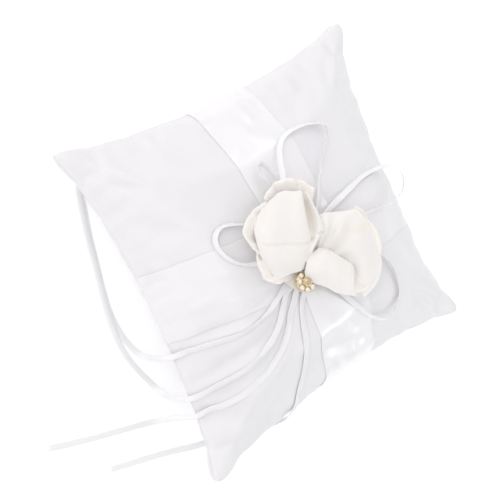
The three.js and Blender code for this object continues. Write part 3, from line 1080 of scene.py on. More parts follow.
        out = np.hypot(x, y)[:, None]
        away = np.stack([x, y, np.zeros(count)], axis=1) / np.maximum(out, 1e-6)
        tip = np.hypot(self.form.half - np.abs(x), self.form.half - np.abs(y))
        plump = self.ear * np.exp(-(((tip - self.ear_middle) / self.ear_spread) ** 2))
        co[:, 2] += facing * (plump * np.clip(above / 0.0016, 0, 1) ** 0.6)
        pull = self.ear_pull * np.exp(-((tip / self.pull_spread) ** 2))
        co += away * (pull - self.ear_round * np.exp(-((tip / 0.003) ** 2)))[:, None]
        groove = 1.6 * np.exp(-((above / 0.0004) ** 2))
        lip = self.seam_lip * (np.exp(-(((above - 0.0012) / 0.0008) ** 2)) - groove)
        wander = np.array([noise.noise(Vector((a * 28, b * 28, 5.0))) for a, b in zip(x, y)])
        sway = self.sway * wander * np.exp(-((above / 0.012) ** 2))
        co += away * (lip + sway)[:, None]
        ride = self.ride * np.array([noise.noise(Vector((a * 34, b * 34, 9.0))) for a, b in zip(x, y)])
        co[:, 2] += ride * np.exp(-((above / 0.01) ** 2))
        co[:, 2] = np.maximum(co[:, 2], self.lowest)
        mesh.vertices.foreach_set("co", co.ravel())
        mesh.update()

    def build(self) -> tuple[bpy.types.Object, bpy.types.Object]:
        """Makes the filling, both panels and the stitches.

        Returns:
            The front panel and the back one.
        """
        bag = self.closed_form()
        mesh = bpy.data.meshes.new("bag")
        bag.to_mesh(mesh)
        bag.free()
        self.inflate(mesh)
        fine = self.smooth_bag(mesh)
        panels = []
        for facing, name in ((1, "cover_front"), (-1, "cover_back")):
            half = bmesh.new()
            half.from_mesh(fine)
            kept = 0 if facing > 0 else 1
            bmesh.ops.delete(half, geom=[f for f in half.faces if f.material_index != kept], context="FACES")
            for face in half.faces:
                face.material_index = 0
            panel = piece_of(name + "_satin", half, [PILLOW.material()], "pillow_satin", name)
            self.sculpt(panel.data, facing)
            add_modifier(panel, "SOLIDIFY", thickness=self.panel, offset=-1.0)
            panels.append(panel)
            LOG.info("%s: %d faces", panel.name, len(panel.data.polygons))
        self.build_filling(fine)
        self.build_stitches(panels[0])
        return panels[0], panels[1]

    def build_filling(self, fine: bpy.types.Mesh, share: float = 0.945) -> None:
        """The fibre, which takes the shape of its cover a little smaller and lumpier.

        Args:
            fine: the smooth bag.
            share: how large the fibre is against the bag.
        """
        fibre = bmesh.new()
        fibre.from_mesh(fine)
        middle = Vector((0, 0, self.form.seam))
        for vert in fibre.verts:
            lump = 1 - 0.012 * (1 + noise.noise(vert.co * 55))
            vert.co = middle + (vert.co - middle) * share * lump
            vert.co.z = max(vert.co.z, 0.0012)
        bmesh.ops.smooth_vert(fibre, verts=fibre.verts, factor=0.5, use_axis_x=True, use_axis_y=True,
                              use_axis_z=True)
        for face in fibre.faces:
            face.material_index = 0
        piece = piece_of("fibre_batt", fibre, [FILLING.material()], "filling", "fibre_filling")

    def seam_place(self, skin: Skin, turn: float) -> tuple[Vector, Vector]:
        """A place in the seam groove and the seam's direction there.

        Args:
            skin: the front panel.
            turn: the share of the way round, from the middle of the back edge.

        Returns:
            The place and the direction.
        """
        side, share = divmod((turn % 1.0) * 4 + 0.5, 1.0)
        spin = Matrix.Rotation(-side * math.pi / 2, 3, "Z")
        here, ahead = (
            spin @ self.form.point(max(-0.995, min(0.995, 2 * s - 1)), 1.0, 1) for s in (share, share + 0.004)
        )
        found = skin.tree.find_nearest(here)[0]
        inward = Vector((-found.x, -found.y, 0)).normalized()
        place = Vector((found.x, found.y, min(found.z, self.form.seam + 0.001))) + inward * 0.0001
        return place, (ahead - here).normalized()

    def build_stitches(self, front: bpy.types.Object) -> None:
        """The machine stitches in the seam, and the ladder stitches that close the opening.

        Args:
            front: the front panel, whose edge they follow.
        """
        skin = Skin(front)
        opening = (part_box("closing_stitch")[1].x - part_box("closing_stitch")[0].x) / (8 * self.form.half)
        runs = (("seam_stitches", "seam_thread", opening / 2, 1 - opening / 2, 0.1),
                ("ladder_stitches", "closing_stitch", -opening / 2, opening / 2, 0.6))
        for name, node, first, last, slant in runs:
            run = bmesh.new()
            count = int((last - first) * 8 * self.form.half / self.stitch)
            for i in range(count):
                place, way = self.seam_place(skin, first + (last - first) * (i + 0.5) / count)
                lean = slant if i % 2 else -slant
                long_way = (way + UP * lean).normalized()
                turn = long_way.to_track_quat("Z", "Y").to_matrix().to_4x4()
                size = Matrix.Diagonal((0.0002, 0.0002, self.stitch * 0.46, 1))
                bmesh.ops.create_uvsphere(run, u_segments=6, v_segments=5, radius=1.0,
                                          matrix=Matrix.Translation(place) @ turn @ size)
            piece = piece_of(name, run, [THREAD.material()], "thread", node)
            LOG.info("%s: %d stitches", piece.name, count)


# ---------------------------------------------------------------- wide ribbons


@dataclass
class WideRibbons:
    """The two wide satin ribbons that cross over the front, the long one on top.

    Args:
        form: the pillow's shape.
        skin: the front panel, which they lie on.
        width: a ribbon's width.
        thick: its thickness.
        arc: its length against the width of the pillow's middle, as it goes up over the filling.
        gather: how much narrower it is drawn in under the flower.
        gather_reach: how far from the crossing that reaches.
        reach: how near it comes to the seam, as a share.
        pleats: how many pleats the gather makes.
        pleat_height: how high they stand.
        cross_folds: the folds in the under ribbon.
        long_folds: the folds in the upper one.
    """

    form: PillowForm
    skin: Skin
    width: float = 0.041
    arc: float = 1.12
    thick: float = 0.00025
    gather: float = 0.005
    gather_reach: float = 0.028
    reach: float = 0.985
    pleats: float = 4.5
    pleat_height: float = 0.0013

    cross_folds: Sequence[Fold] = (
        Fold(((2, -24), (-4, -44), (-8, -64)), 0.8, 2.5),
        Fold(((10, -26), (10, -46), (8, -66)), 0.7, 2.5),
        Fold(((0, 28), (-4, 50), (-4, 72)), 0.6, 2.5),
        Fold(((14, 22), (17, 44), (18, 66)), 0.6, 2.5),
    )
    long_folds: Sequence[Fold] = (
        Fold(((28, -6), (38, 2), (48, 11), (58, 21)), 1.2, 2.2),
        Fold(((30, -12), (42, -5), (54, 3), (66, 12)), -0.5, 3.5),
        Fold(((27, 10), (36, 14), (46, 20)), 0.9, 2.0),
        Fold(((-24, -12), (-38, -8), (-54, -6)), 0.7, 2.2),
        Fold(((-22, 8), (-36, 6), (-52, 8)), 0.6, 2.5),
    )

    def width_at(self, distance: float) -> float:
        """The ribbon's width at a distance from the crossing."""
        return self.width - self.gather * bell(distance, self.gather_reach)

    def lift(self, across: float, distance: float) -> float:
        """How far the gathers and ripples stand off the pillow.

        Args:
            across: the share across the ribbon.
            distance: how far along it, from the crossing.

        Returns:
            The height in metres.
        """
        pleat = 0.5 + 0.5 * math.cos(2 * math.pi * self.pleats * across + 18 * distance)
        gathered = self.pleat_height * bell(distance, 0.022) * pleat
        ripple = 0.0003 * (1 + noise.noise(Vector((across * 2.2, distance * 26, 3.0))))
        return gathered + ripple * math.sin(math.pi * across) ** 0.5

    def strip(self, name: str, along_x: bool, start: float, slope: float, under: Optional[Skin],
              folds: Sequence[Fold], finish: Satin, node: str) -> bpy.types.Object:
        """One ribbon, laid on the pillow from edge to edge.

        Args:
            name: the piece's name.
            along_x: whether it runs along X, and otherwise along Y.
            start: where its middle line crosses the pillow's middle.
            slope: how much it slants.
            under: what it lies on besides the pillow.
            folds: the folds pressed into it.
            finish: its satin.
            node: the CAD node that it stands for.

        Returns:
            The ribbon.
        """
        inner = self.form.half - self.form.edge_pull

        def place(s: float, t: float) -> Vector:
            """The point at a share across and along the ribbon.

            Args:
                s: the share across.
                t: the share along.

            Returns:
                The point.
            """
            far = wave(0.5 + (t - 0.5) * self.reach)
            along = far * inner
            across = start + slope * along + (s - 0.5) * self.width_at(along) * (-1 if along_x else 1)
            near = across / (self.form.half - self.form.edge_pull * (1 - far * far))
            u, v = (far, near) if along_x else (near, far)
            out = self.form.outward(u, v, 1)
            base = self.form.point(u, v, 1)
            found = self.skin.from_outside(base, out) or base
            lift = self.thick + 0.00015 + self.lift(s, along)
            if under:
                other = under.from_outside(base, out)
                if other and (other - base).dot(out) > (found - base).dot(out):
                    found = other
            x, y = np.array([found.x]), np.array([found.y])
            pressed = sum(float(fold.rise(x, y)[0]) for fold in folds)
            return found + out * max(self.thick + 0.00012, lift + pressed)

        length = 2 * inner * self.arc
        made = bent_grid(28, 132, place, (self.width, length))
        piece = piece_of(name, made, [finish.material()], "ribbon_satin", node)
        add_modifier(piece, "SOLIDIFY", thickness=self.thick, offset=-1.0)
        subdivide(piece)
        LOG.info("%s laid", name)
        return piece

    def build(self) -> list[bpy.types.Object]:
        """Lays the cross ribbon and then the long one over it.

        Returns:
            The two ribbons.
        """
        cross = self.strip("cross_ribbon", False, 0.0037, 0.073, None, self.cross_folds, UNDER, "band_cross")
        long = self.strip("long_ribbon", True, 0.0025, 0.035, Skin(cross), self.long_folds, WIDE, "band_long")
        return [cross, long]


# ---------------------------------------------------------------- narrow ribbons


class Lay(Enum):
    """How a narrow ribbon's flat side faces."""

    LYING = "flat on the pillow and the table"
    LEANING = "up on its edge round a bow loop"


TAILS: dict[str, Sequence[Point]] = {
    "tail_1": (
        (11.3, -19.8, 64), (16, -26.5, 62.6), (21, -34, 60.6), (25.5, -44, 57.6), (27.8, -55, 54.7),
        (27.8, -66, 51.3), (26.5, -77, 46.5), (25.3, -85, 41.2), (24.8, -91.2, 33), (25, -93.4, 26),
        (25.5, -94.4, 16), (25, -95.8, 7), (22.5, -98.4, 1.8), (17, -100.6, 0.6), (8, -102.8, 0.6),
        (-7, -103.4, 0.6), (-22, -100.9, 0.6), (-36, -97.8, 0.6), (-50, -94.6, 0.6), (-65, -90.4, 0.6),
        (-79, -85.4, 0.6), (-84, -76, 0.6), (-83, -66, 0.6)),
    "tail_2": (
        (14.3, -17.6, 64), (19, -24, 62.8), (26, -31, 60.7), (33, -37, 58.4), (39.5, -45, 55.7),
        (44.5, -55, 52.8), (48, -65, 49.7), (49.6, -75, 46.2), (50.2, -84, 41.8), (50.6, -92.6, 33),
        (50.8, -94.8, 26), (50.8, -95.8, 16), (49, -97.2, 7), (44, -99.2, 1.8), (38, -100.8, 0.6),
        (30, -103.4, 0.6), (21, -105.6, 0.6), (8, -106.6, 0.8), (-7, -105, 1.2), (-22, -102, 1.3),
        (-36, -98.9, 1.3), (-50, -95.9, 1.3), (-65.5, -91.8, 1.3), (-80, -86.6, 1.3), (-85.6, -76.6, 1.3),
        (-84.4, -64.4, 1.3)),
    "tail_3": (
        (16.6, -14.6, 64), (22, -20.6, 62.8), (29.5, -27.5, 60.6), (38, -33.5, 57.9), (46, -40, 55.2),
        (52, -48, 52.9), (56.5, -57, 50.4), (59.5, -67, 47.6), (60.7, -77, 44.3), (61, -86, 39.8),
        (61.2, -92.6, 34.2), (61.6, -95.4, 27), (62, -97.4, 18), (62.2, -100.6, 8), (61, -106, 1.8),
        (57.6, -117, 0.6), (53, -131, 0.6), (48.6, -145.4, 0.6), (44.2, -157.5, 0.6), (40.1, -168.5, 0.6)),
    "tail_4": (
        (17.8, -11.1, 64), (22.5, -15.4, 62.9), (29, -19.4, 61.2), (38, -22.6, 58.9), (50, -25.6, 55.9),
        (62, -28.8, 52.7), (72, -32, 49), (80, -35.4, 45), (87, -39, 40.2), (92, -42.6, 34.5),
        (94.8, -46.4, 27), (96, -51, 17), (96, -57, 7), (94.6, -66, 1.4), (91.4, -79, 0.6),
        (87, -94, 0.6), (82.4, -105.5, 0.6), (78, -118, 0.6), (74, -131, 0.6), (70.1, -143.4, 0.6)),
}

LOOPS: dict[str, Sequence[Point]] = {
    "loop_left": (
        (-5, -15.9, 64), (-13, -21.5, 63), (-22, -28.5, 61.4), (-28.5, -38.4, 59.4), (-30.4, -46.6, 57.8),
        (-26.6, -51.8, 57.2), (-20, -52.8, 57.6), (-13.4, -50.4, 58.6), (-7.4, -45.6, 60.2),
        (-3.8, -38, 61.8), (-0.8, -29.5, 63), (1.6, -21.2, 64)),
    "loop_top": (
        (-2.5, 0.8, 64), (-9, 7.4, 64), (-16, 13.4, 64), (-23, 18, 63.4), (-31, 24.4, 62), (-39, 32.4, 60),
        (-46, 41, 58), (-50.4, 44, 57), (-54, 41.6, 56.8), (-57.4, 33.4, 57.2), (-59, 21, 57.8),
        (-56.8, 10.8, 58.8), (-50.6, 3.8, 62), (-42.5, -1, 65.2), (-33, -4.4, 66.6), (-24, -6.2, 66.2),
        (-17, -7, 64.4), (-6.9, -7.2, 64)),
    "loop_right": (
        (6.5, 4, 64), (6.3, 14, 64), (5.6, 26, 63.4), (4.6, 38.9, 61.8), (5.6, 49.1, 59.6), (7.8, 60, 56.6),
        (8.8, 70.5, 53), (8.6, 80, 49), (6.4, 87, 46), (1, 91.4, 44.5), (-5.2, 90, 44.8), (-9.6, 84.6, 46.6),
        (-12.4, 76, 50), (-14.4, 66, 54), (-15.4, 55, 57.2), (-14.6, 43.8, 60.4), (-12.4, 30.9, 62.6),
        (-9.6, 17.6, 63.8), (-5.6, 8.6, 64), (0.4, 2.8, 64)),
    "loop_lower": (
        (18.1, -4.1, 64), (27, 0.4, 63.4), (35, 4.4, 62.2), (43, 8.4, 60.9), (50.5, 12.6, 59.4),
        (58.6, 18.4, 57), (65, 25, 54.6), (69.4, 32.4, 52), (69.4, 39.4, 50.6), (65.5, 44.4, 50.4),
        (59, 48.2, 51.2), (51, 50, 53), (42.6, 49.2, 55.4), (34.8, 45.6, 58.2), (27.6, 38.6, 60.8),
        (22.4, 29, 62.9), (17.6, 16, 64), (12.1, 2.6, 64)),
}

SHORT_LOOP: Sequence[Point] = (
    (-20, -3.5, 63.5), (-30, -7, 62.8), (-40, -10.3, 61.5), (-47, -12, 60.5), (-50.6, -10.8, 60),
    (-50.8, -8, 60), (-47.5, -5.6, 60.6), (-40, -3.6, 61.8), (-30, -1.2, 63), (-20, 0.8, 64))


@dataclass
class NarrowRibbons:
    """The 3 mm ribbon: four tails, five bow loops and the knot that they leave.

    Args:
        form: the pillow's shape.
        skin: what the ribbon lies on.
        width: its nominal width.
        slack_width: the width that it is drawn at, with its soft edges spread.
        thick: its thickness.
        lean: how far a loop leans up on its edge.
        close: how far over the pillow its middle lies.
        passes: how often its route is smoothed after it is laid.
    """

    form: PillowForm
    skin: Skin
    width: float = 0.003
    slack_width: float = 0.0034
    thick: float = 0.0003
    lean: float = math.radians(62)
    close: float = 0.0004
    passes: int = 6

    def facing(self, lay: Lay, place: Vector, way: Vector, share: float) -> Vector:
        """The direction that the ribbon's flat side faces.

        Args:
            lay: how the ribbon lies.
            place: the point on its route.
            way: the route's direction there.
            share: the share of its length.

        Returns:
            The direction.
        """
        if lay is Lay.LEANING:
            tilt = self.lean * smoothstep(min(share, 1 - share), 0.05, 0.28)
            return way.cross(UP).normalized() * math.sin(tilt) + UP * math.cos(tilt)
        raised = smoothstep(place.z, 0.002, 0.012)
        _, normal, _, _ = self.skin.tree.find_nearest(place)
        sideways = Vector((place.x, place.y, 0)).normalized() * 0.3 if place.z < self.form.seam else Vector()
        return (normal + sideways).normalized() * raised + UP * (1 - raised)

    def settled(self, lay: Lay, route: list[Vector]) -> list[Vector]:
        """A route laid on the real surface instead of the plain form.

        Args:
            lay: how the ribbon lies.
            route: evenly spaced points.

        Returns:
            The route, off the pillow by the ribbon's own needs.
        """
        laid = []
        low, high = self.form.seam + 0.002, self.form.seam + 0.012
        for i, place in enumerate(route):
            ends = min(i, len(route) - 1 - i) / len(route)
            if lay is Lay.LYING:
                tight = self.skin.kept_off(place, self.close, self.close + 0.0004)
                laid.append(place.lerp(tight, smoothstep(place.z, low, high)))
            else:
                upright = 0.0004 + self.width / 2 * smoothstep(ends, 0.0, 0.2)
                floor = self.skin.top(place.x, place.y) + upright
                laid.append(Vector((place.x, place.y, max(place.z, floor))))
        for _ in range(self.passes):
            inner = [(a + b * 2 + c) / 4 for a, b, c in zip(laid, laid[1:], laid[2:])]
            laid = [laid[0], *inner, laid[-1]]
        return laid

    def ribbon(self, name: str, points: Sequence[Point], lay: Lay, seed: float) -> bpy.types.Object:
        """One narrow ribbon along its route.

        Args:
            name: the CAD node that it stands for.
            points: the route, in millimetres.
            lay: how it lies.
            seed: where its slight waviness starts.

        Returns:
            The ribbon.
        """
        curve = Spline([mm(p) for p in points])
        steps = max(24, int(curve.length / 0.0012))
        route = self.settled(lay, curve.even(steps + 1))
        ways = [(b - a).normalized() for a, b in zip([route[0], *route[:-1]], [*route[1:], route[-1]])]
        faces = [self.facing(lay, p, w, i / steps) for i, (p, w) in enumerate(zip(route, ways))]
        for _ in range(4):
            inner = [(a + b * 2 + c).normalized() for a, b, c in zip(faces, faces[1:], faces[2:])]
            faces = [faces[0], *inner, faces[-1]]
        roll = 0.16 if lay is Lay.LYING else 0.3

        def place(s: float, t: float) -> Vector:
            """The point at a share across and along the ribbon.

            Args:
                s: the share across.
                t: the share along.

            Returns:
                The point.
            """
            i = min(steps, round(t * steps))
            turn = Matrix.Rotation(roll * noise.noise(Vector((t * 9, seed, 0))), 3, ways[i])
            face = turn @ faces[i]
            across = face.cross(ways[i]).normalized()
            side = (s - 0.5) * 2
            cup = face.normalized() * (-0.00012 * side * side)
            return route[i] + across * (side * self.slack_width / 2) + cup

        made = bent_grid(6, steps, place, (self.width, curve.length))
        piece = piece_of(name + "_ribbon", made, [NARROW.material()], "ribbon_satin", name)
        add_modifier(piece, "SOLIDIFY", thickness=self.thick, offset=0.0)
        add_modifier(piece, "WEIGHTED_NORMAL", weight=100)
        long = sum((b - a).length for a, b in zip(route, route[1:]))
        tuple(route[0])
        [tuple(p) for p in route]
        LOG.info("%s: %.0f mm", piece.name, long * 1000)
        return piece

    def knot(self) -> None:
        """The gathered knot under the flower: a flat coil of ribbon pulled into pleats."""
        low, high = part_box("ribbon_knot")
        middle, radius = (low + high) / 2, (high.x - low.x) / 2

        def place(s: float, t: float) -> Vector:
            """The point at a share out from the middle and round the coil.

            Args:
                s: the share out from the middle.
                t: the share round.

            Returns:
                The point.
            """
            turn = t * 2 * math.pi
            out = radius * (0.12 + 0.88 * s) * (1 + 0.05 * math.sin(7 * turn))
            pleat = 0.00045 * math.sin(14 * turn) * math.sin(math.pi * s)
            return middle + Vector((out * math.cos(turn), out * math.sin(turn), pleat))

        made = bent_grid(10, 112, place, (radius, radius * 4))
        bmesh.ops.remove_doubles(made, verts=made.verts, dist=1e-6)
        bmesh.ops.recalc_face_normals(made, faces=made.faces)
        piece = piece_of("gathered_knot", made, [NARROW.material()], "ribbon_satin", "ribbon_knot")
        add_modifier(piece, "SOLIDIFY", thickness=0.0004, offset=0.0)

    def build(self) -> None:
        """Makes the tails, the loops and the knot."""
        for i, (name, points) in enumerate(TAILS.items()):
            self.ribbon(name, points, Lay.LYING, i * 3.1)
        for i, (name, points) in enumerate(LOOPS.items()):
            self.ribbon(name, points, Lay.LEANING, 20 + i * 2.7)
        self.ribbon("loop_short", SHORT_LOOP, Lay.LEANING, 40.0)
        self.knot()


# ---------------------------------------------------------------- flower


Rib = Sequence[Point]


@dataclass(frozen=True)
class Petal:
    """A petal, lofted over guide ribs that run from its upper end to its lower one.

    Args:
        name: the piece's name.
        node: the CAD node that it stands for.
        ribs: the guide ribs, side by side, in millimetres.
        crease: the share along at which it doubles over itself, with painted shade in the fold, or 0.
        hollow: the share across at which its ribs' deep hollow runs and is painted with shade, or 0.
        hollow_width: half the width of that painted shade, as a share across.
        tuck: how far its upper ends run down into the flower, in millimetres.
        throat: where its upper ends run together, in millimetres, or nothing.
    """

    name: str
    node: str
    ribs: Sequence[Rib]
    crease: float = 0.0
    hollow: float = 0.0
    hollow_width: float = 0.06
    tuck: float = 0.0
    throat: Optional[Point] = None

    def tucked(self, rib: Rib) -> list[Vector]:
        """A rib's points in metres, with one more that runs down into the flower.

        Args:
            rib: the rib, in millimetres.

        Returns:
            The points.
        """
        points = [mm(p) for p in rib]
        if self.throat:
            points.insert(0, points[0].lerp(mm(self.throat), 0.8))
        elif self.tuck:
            back = (points[0] - points[1]).normalized() * 0.6 * self.tuck * MM
            points.insert(0, points[0] + Vector((back.x, back.y, -self.tuck * MM)))
        return points


@dataclass(frozen=True)
class OrganzaPetal:
    """A sheer petal behind the satin ones: a ruffled fan from the flower's middle to its outline.

    Args:
        name: the piece's name.
        node: the CAD node that it stands for.
        outline: its rim in millimetres, in plan.
        seed: where its ruffle starts.
        lift: how much of the room above the backing its rim rises through.
    """

    name: str
    node: str
    outline: Sequence[Place]
    seed: float
    lift: float = 0.85


LEFT_PETAL = Petal("left_satin_petal", "satin_petal_left", (
    ((-34, -13.5, 72), (-30.5, -26, 71), (-25, -34, 71), (-17, -37.5, 72), (-5.5, -38, 70.5),
     (2.5, -36, 69.5)),
    ((-33.5, -9.5, 73), (-27, -23, 75), (-21, -30.5, 76), (-15, -33, 76), (-5.5, -34.5, 75), (8, -34, 70)),
    ((-31, -5, 73.5), (-21.5, -14.5, 76.5), (-15.5, -20.5, 77), (-10.5, -23.5, 76.5), (-1.5, -27, 76.5),
     (8.5, -27, 71)),
    ((-29.5, -1, 75), (-20.5, -5, 77), (-11.5, -7.5, 77), (-3.5, -9, 76), (2.5, -18, 76), (10.5, -18, 71)),
    ((-28, 0.5, 73.5), (-18, -0.5, 72), (-9, -3, 72), (-2, -6.5, 73.5), (3.5, -12, 74), (10, -12.5, 70)),
    ((-28, 0.5, 77), (-19.5, -1, 80.5), (-9, -1.5, 79.5), (-1.5, -5, 76), (3, -8.5, 74), (7.5, -9, 70)),
    ((-25.5, 3, 73), (-14.5, 3.5, 75), (-4, 3, 75), (-1.5, 0, 74), (1.5, -6, 72.5), (6, -7, 69.5)),
    ((-24, 5, 70), (-13, 6, 71), (-2.5, 6, 70), (1.5, 2, 69.5), (5, -4, 69), (8.5, -6, 68)),
), crease=0.6, hollow=0.565)

BACK_PETAL = Petal("back_satin_petal", "satin_petal_back", (
    ((-1.5, 0.5, 70), (-6.5, 3, 71), (-12, 6.5, 71)),
    ((-1, 1, 73), (-5, 4.5, 75), (-11.5, 8.5, 73.5)),
    ((3, 4, 70.5), (-1.5, 9.5, 71.5), (-9.5, 14, 73)),
    ((6.5, 4.5, 72), (1, 10, 75.5), (-6.5, 21.5, 73)),
    ((11, 7.5, 70.5), (8, 15.5, 72.5), (-4.5, 28, 74)),
    ((13, 8, 71.5), (12, 18.5, 75), (5, 33, 72.5)),
    ((16, 10, 71), (16.5, 18.5, 75), (18, 34, 71.5)),
    ((20, 11, 70), (24.5, 17.5, 74), (31, 32.5, 71)),
    ((23, 11.5, 69.5), (32.5, 15, 73), (40.5, 24, 70.5)),
    ((24.5, 12, 69), (34.5, 10, 71), (43.5, 12, 70)),
), hollow=0.43, hollow_width=0.05, throat=(9, -7, 70))

FRONT_PETAL = Petal("front_satin_petal", "satin_petal_front", (
    ((6.5, -15, 73.5), (11.5, -18, 72), (17.5, -17.5, 70)),
    ((6.5, -10.5, 76), (13.5, -14.5, 76), (21.5, -13.5, 71)),
    ((6, -4.8, 78), (14, -8.5, 77.5), (26, -9, 72)),
    ((9.5, 0, 78), (19, -4, 78.5), (31.5, -5, 72.5)),
    ((15.5, 4.4, 77.5), (24, 0.5, 78), (35, -0.5, 73)),
    ((21, 9, 76.5), (29, 5.5, 76.5), (38.5, 4.5, 73)),
    ((23.5, 12, 73.5), (31, 9, 73), (40.5, 7, 71)),
), tuck=4.0)

ORGANZA_PETALS = (
    OrganzaPetal("organza_top_petal", "organza_petal_top",
                 ((-26, 10), (-34, 4), (-38.5, -5), (-39, -14), (-35, -22)), 1.0),
    OrganzaPetal("organza_left_petal", "organza_petal_left",
                 ((-33, -22), (-32, -34), (-25, -42), (-16, -42), (-9, -38)), 2.3),
    OrganzaPetal("organza_front_petal", "organza_petal_front",
                 ((-12, -39), (-4, -42), (4, -41), (10, -35), (11, -28)), 3.9, 0.6),
    OrganzaPetal("organza_right_petal", "organza_petal_right",
                 ((38, 5), (39.5, 14), (36, 24), (28, 33), (17, 37), (4, 36), (-6, 30)), 5.2, 0.4),
)


@dataclass
class Flower:
    """The cloth flower: a felt base, four organza petals and three folded satin ones.

    Args:
        petal_thick: the satin's thickness.
        organza_thick: the organza's thickness.
        steps: faces along each side of a satin petal, before it is subdivided.
        crease_depth: how deep a petal is pressed in where it doubles over.
    """

    petal_thick: float = 0.00035
    organza_thick: float = 0.00012
    steps: int = 52
    crease_depth: float = 0.0015

    def mark_depth(self, piece: bpy.types.Object, depth: Sequence[float]) -> None:
        """Stores how deep in a fold or rolled rim each point lies: the satin petals are painted with shade
        there, and the organza is drawn denser.
        """
        layer = piece.data.attributes.new("fold_depth", "FLOAT", "POINT")
        layer.data.foreach_set("value", list(depth))

    def satin(self, petal: Petal) -> bpy.types.Object:
        """One folded satin petal.

        Args:
            petal: its guide ribs and folds.

        Returns:
            The petal.
        """
        ribs = [Spline(petal.tucked(rib), 10) for rib in petal.ribs]
        rows = [Spline([rib.at(k / self.steps) for rib in ribs], 10) for k in range(self.steps + 1)]
        depths = []

        def place(s: float, t: float) -> Vector:
            """The point at a share across and along the petal.

            Args:
                s: the share across.
                t: the share along, from the root.

            Returns:
                The point.
            """
            point = rows[round(t * self.steps)].at(s)
            # depth places the painted fold shade: along the hollow, and where the petal doubles over at its
            # crease
            depth = 0.0
            if petal.hollow:
                depth = bell(s - petal.hollow, petal.hollow_width) * smoothstep(t, 0.0, 0.12)
            if petal.hollow and petal.crease:
                depth *= 1 - smoothstep(t, petal.crease - 0.05, petal.crease + 0.05)
            if petal.crease and petal.crease < t:
                under = bell(t - petal.crease, 0.05) * smoothstep(s, 0.0, 0.12)
                point.z -= self.crease_depth * under
                depth = max(depth, 0.5 * under * bell(t - petal.crease, 0.02))
            point.z += 0.0004 * noise.noise(point * 120)
            depths.append(min(1.0, depth))
            return point

        wide, tall = rows[self.steps // 2].length, ribs[len(ribs) // 2].length
        made = bent_grid(self.steps, self.steps, place, (wide, tall))
        area = sum(face.calc_area() for face in made.faces)
        bmesh.ops.recalc_face_normals(made, faces=made.faces)
        if sum(face.normal.z for face in made.faces) < 0:
            bmesh.ops.reverse_faces(made, faces=made.faces)
        piece = piece_of(petal.name, made, [IVORY.material()], "ivory_satin", petal.node)
        self.mark_depth(piece, depths)
        add_modifier(piece, "SOLIDIFY", thickness=self.petal_thick, offset=-1.0)
        subdivide(piece)
        LOG.info("%s: %.1f cm2", petal.name, area * 1e4)
        return piece

    def organza(self, petal: OrganzaPetal) -> bpy.types.Object:
        """One ruffled organza petal.

        Args:
            petal: its outline.

        Returns:
            The petal.
        """
        low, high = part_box(petal.node)
        base_low, base_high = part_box("flower_base")
        root = Vector(((base_low.x + base_high.x) / 2, (base_low.y + base_high.y) / 2, low.z + 0.0003))
        rim = Spline([Vector((x * MM, y * MM, low.z)) for x, y in petal.outline])
        rise = high.z - low.z
        depths = []

        def place(s: float, t: float) -> Vector:
            """The point at a share round the rim and out from the root.

            Args:
                s: the share round the rim.
                t: the share out from the root.

            Returns:
                The point.
            """
            edge = rim.at(s)
            point = root.lerp(edge, 0.12 + 0.88 * t)
            ruffle = math.sin(s * 15 + petal.seed) + 0.6 * math.sin(s * 31 + petal.seed * 2)
            point.z = root.z + petal.lift * rise * t * t + 0.0008 * ruffle * t * t
            out = (edge - root).normalized()
            point += out * 0.0009 * noise.noise(Vector((s * 7, petal.seed, 1))) * t
            depths.append(smoothstep(t, 0.94, 1.0))
            return point

        wide, tall = rim.length, (rim.at(0.5) - root).length
        made = bent_grid(44, 26, place, (wide, tall))
        area = sum(face.calc_area() for face in made.faces)
        bmesh.ops.recalc_face_normals(made, faces=made.faces)
        if sum(face.normal.z for face in made.faces) < 0:
            bmesh.ops.reverse_faces(made, faces=made.faces)
        piece = piece_of(petal.name, made, [ORGANZA.material()], "organza", petal.node)
        self.mark_depth(piece, depths)
        add_modifier(piece, "SOLIDIFY", thickness=self.organza_thick, offset=0.0)
        return piece

    def backing(self) -> None:
        """The felt disc that the petals are sewn to, cut a little unevenly."""
        low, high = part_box("flower_base")
        middle, radius = (low + high) / 2, (high.x - low.x) / 2
        made = bmesh.new()
        bmesh.ops.create_circle(made, cap_ends=True, segments=72, radius=radius,
                                matrix=Matrix.Translation((middle.x, middle.y, low.z)))
        for vert in made.verts:
            away = Vector((vert.co.x - middle.x, vert.co.y - middle.y, 0))
            vert.co += away * 0.03 * noise.noise(vert.co * 160)
        raised = bmesh.ops.extrude_face_region(made, geom=made.faces[:])
        bmesh.ops.translate(made, vec=(0, 0, high.z - low.z),
                            verts=[g for g in raised["geom"] if isinstance(g, bmesh.types.BMVert)])
        bmesh.ops.recalc_face_normals(made, faces=made.faces)
        rims = [e for e in made.edges if abs(e.verts[0].co.z - e.verts[1].co.z) < 1e-6]
        bmesh.ops.bevel(made, geom=rims, offset=0.00025, offset_type="OFFSET", affect="EDGES", segments=2,
                        profile=0.5, material=-1)
        piece_of("flower_backing", made, [FELT.material()], "felt", "flower_base")

    def build(self) -> None:
        """Makes the backing and the seven petals."""
        self.backing()
        for petal in ORGANZA_PETALS:
            self.organza(petal)
        for petal in (BACK_PETAL, LEFT_PETAL, FRONT_PETAL):
            self.satin(petal)


# ---------------------------------------------------------------- ornament


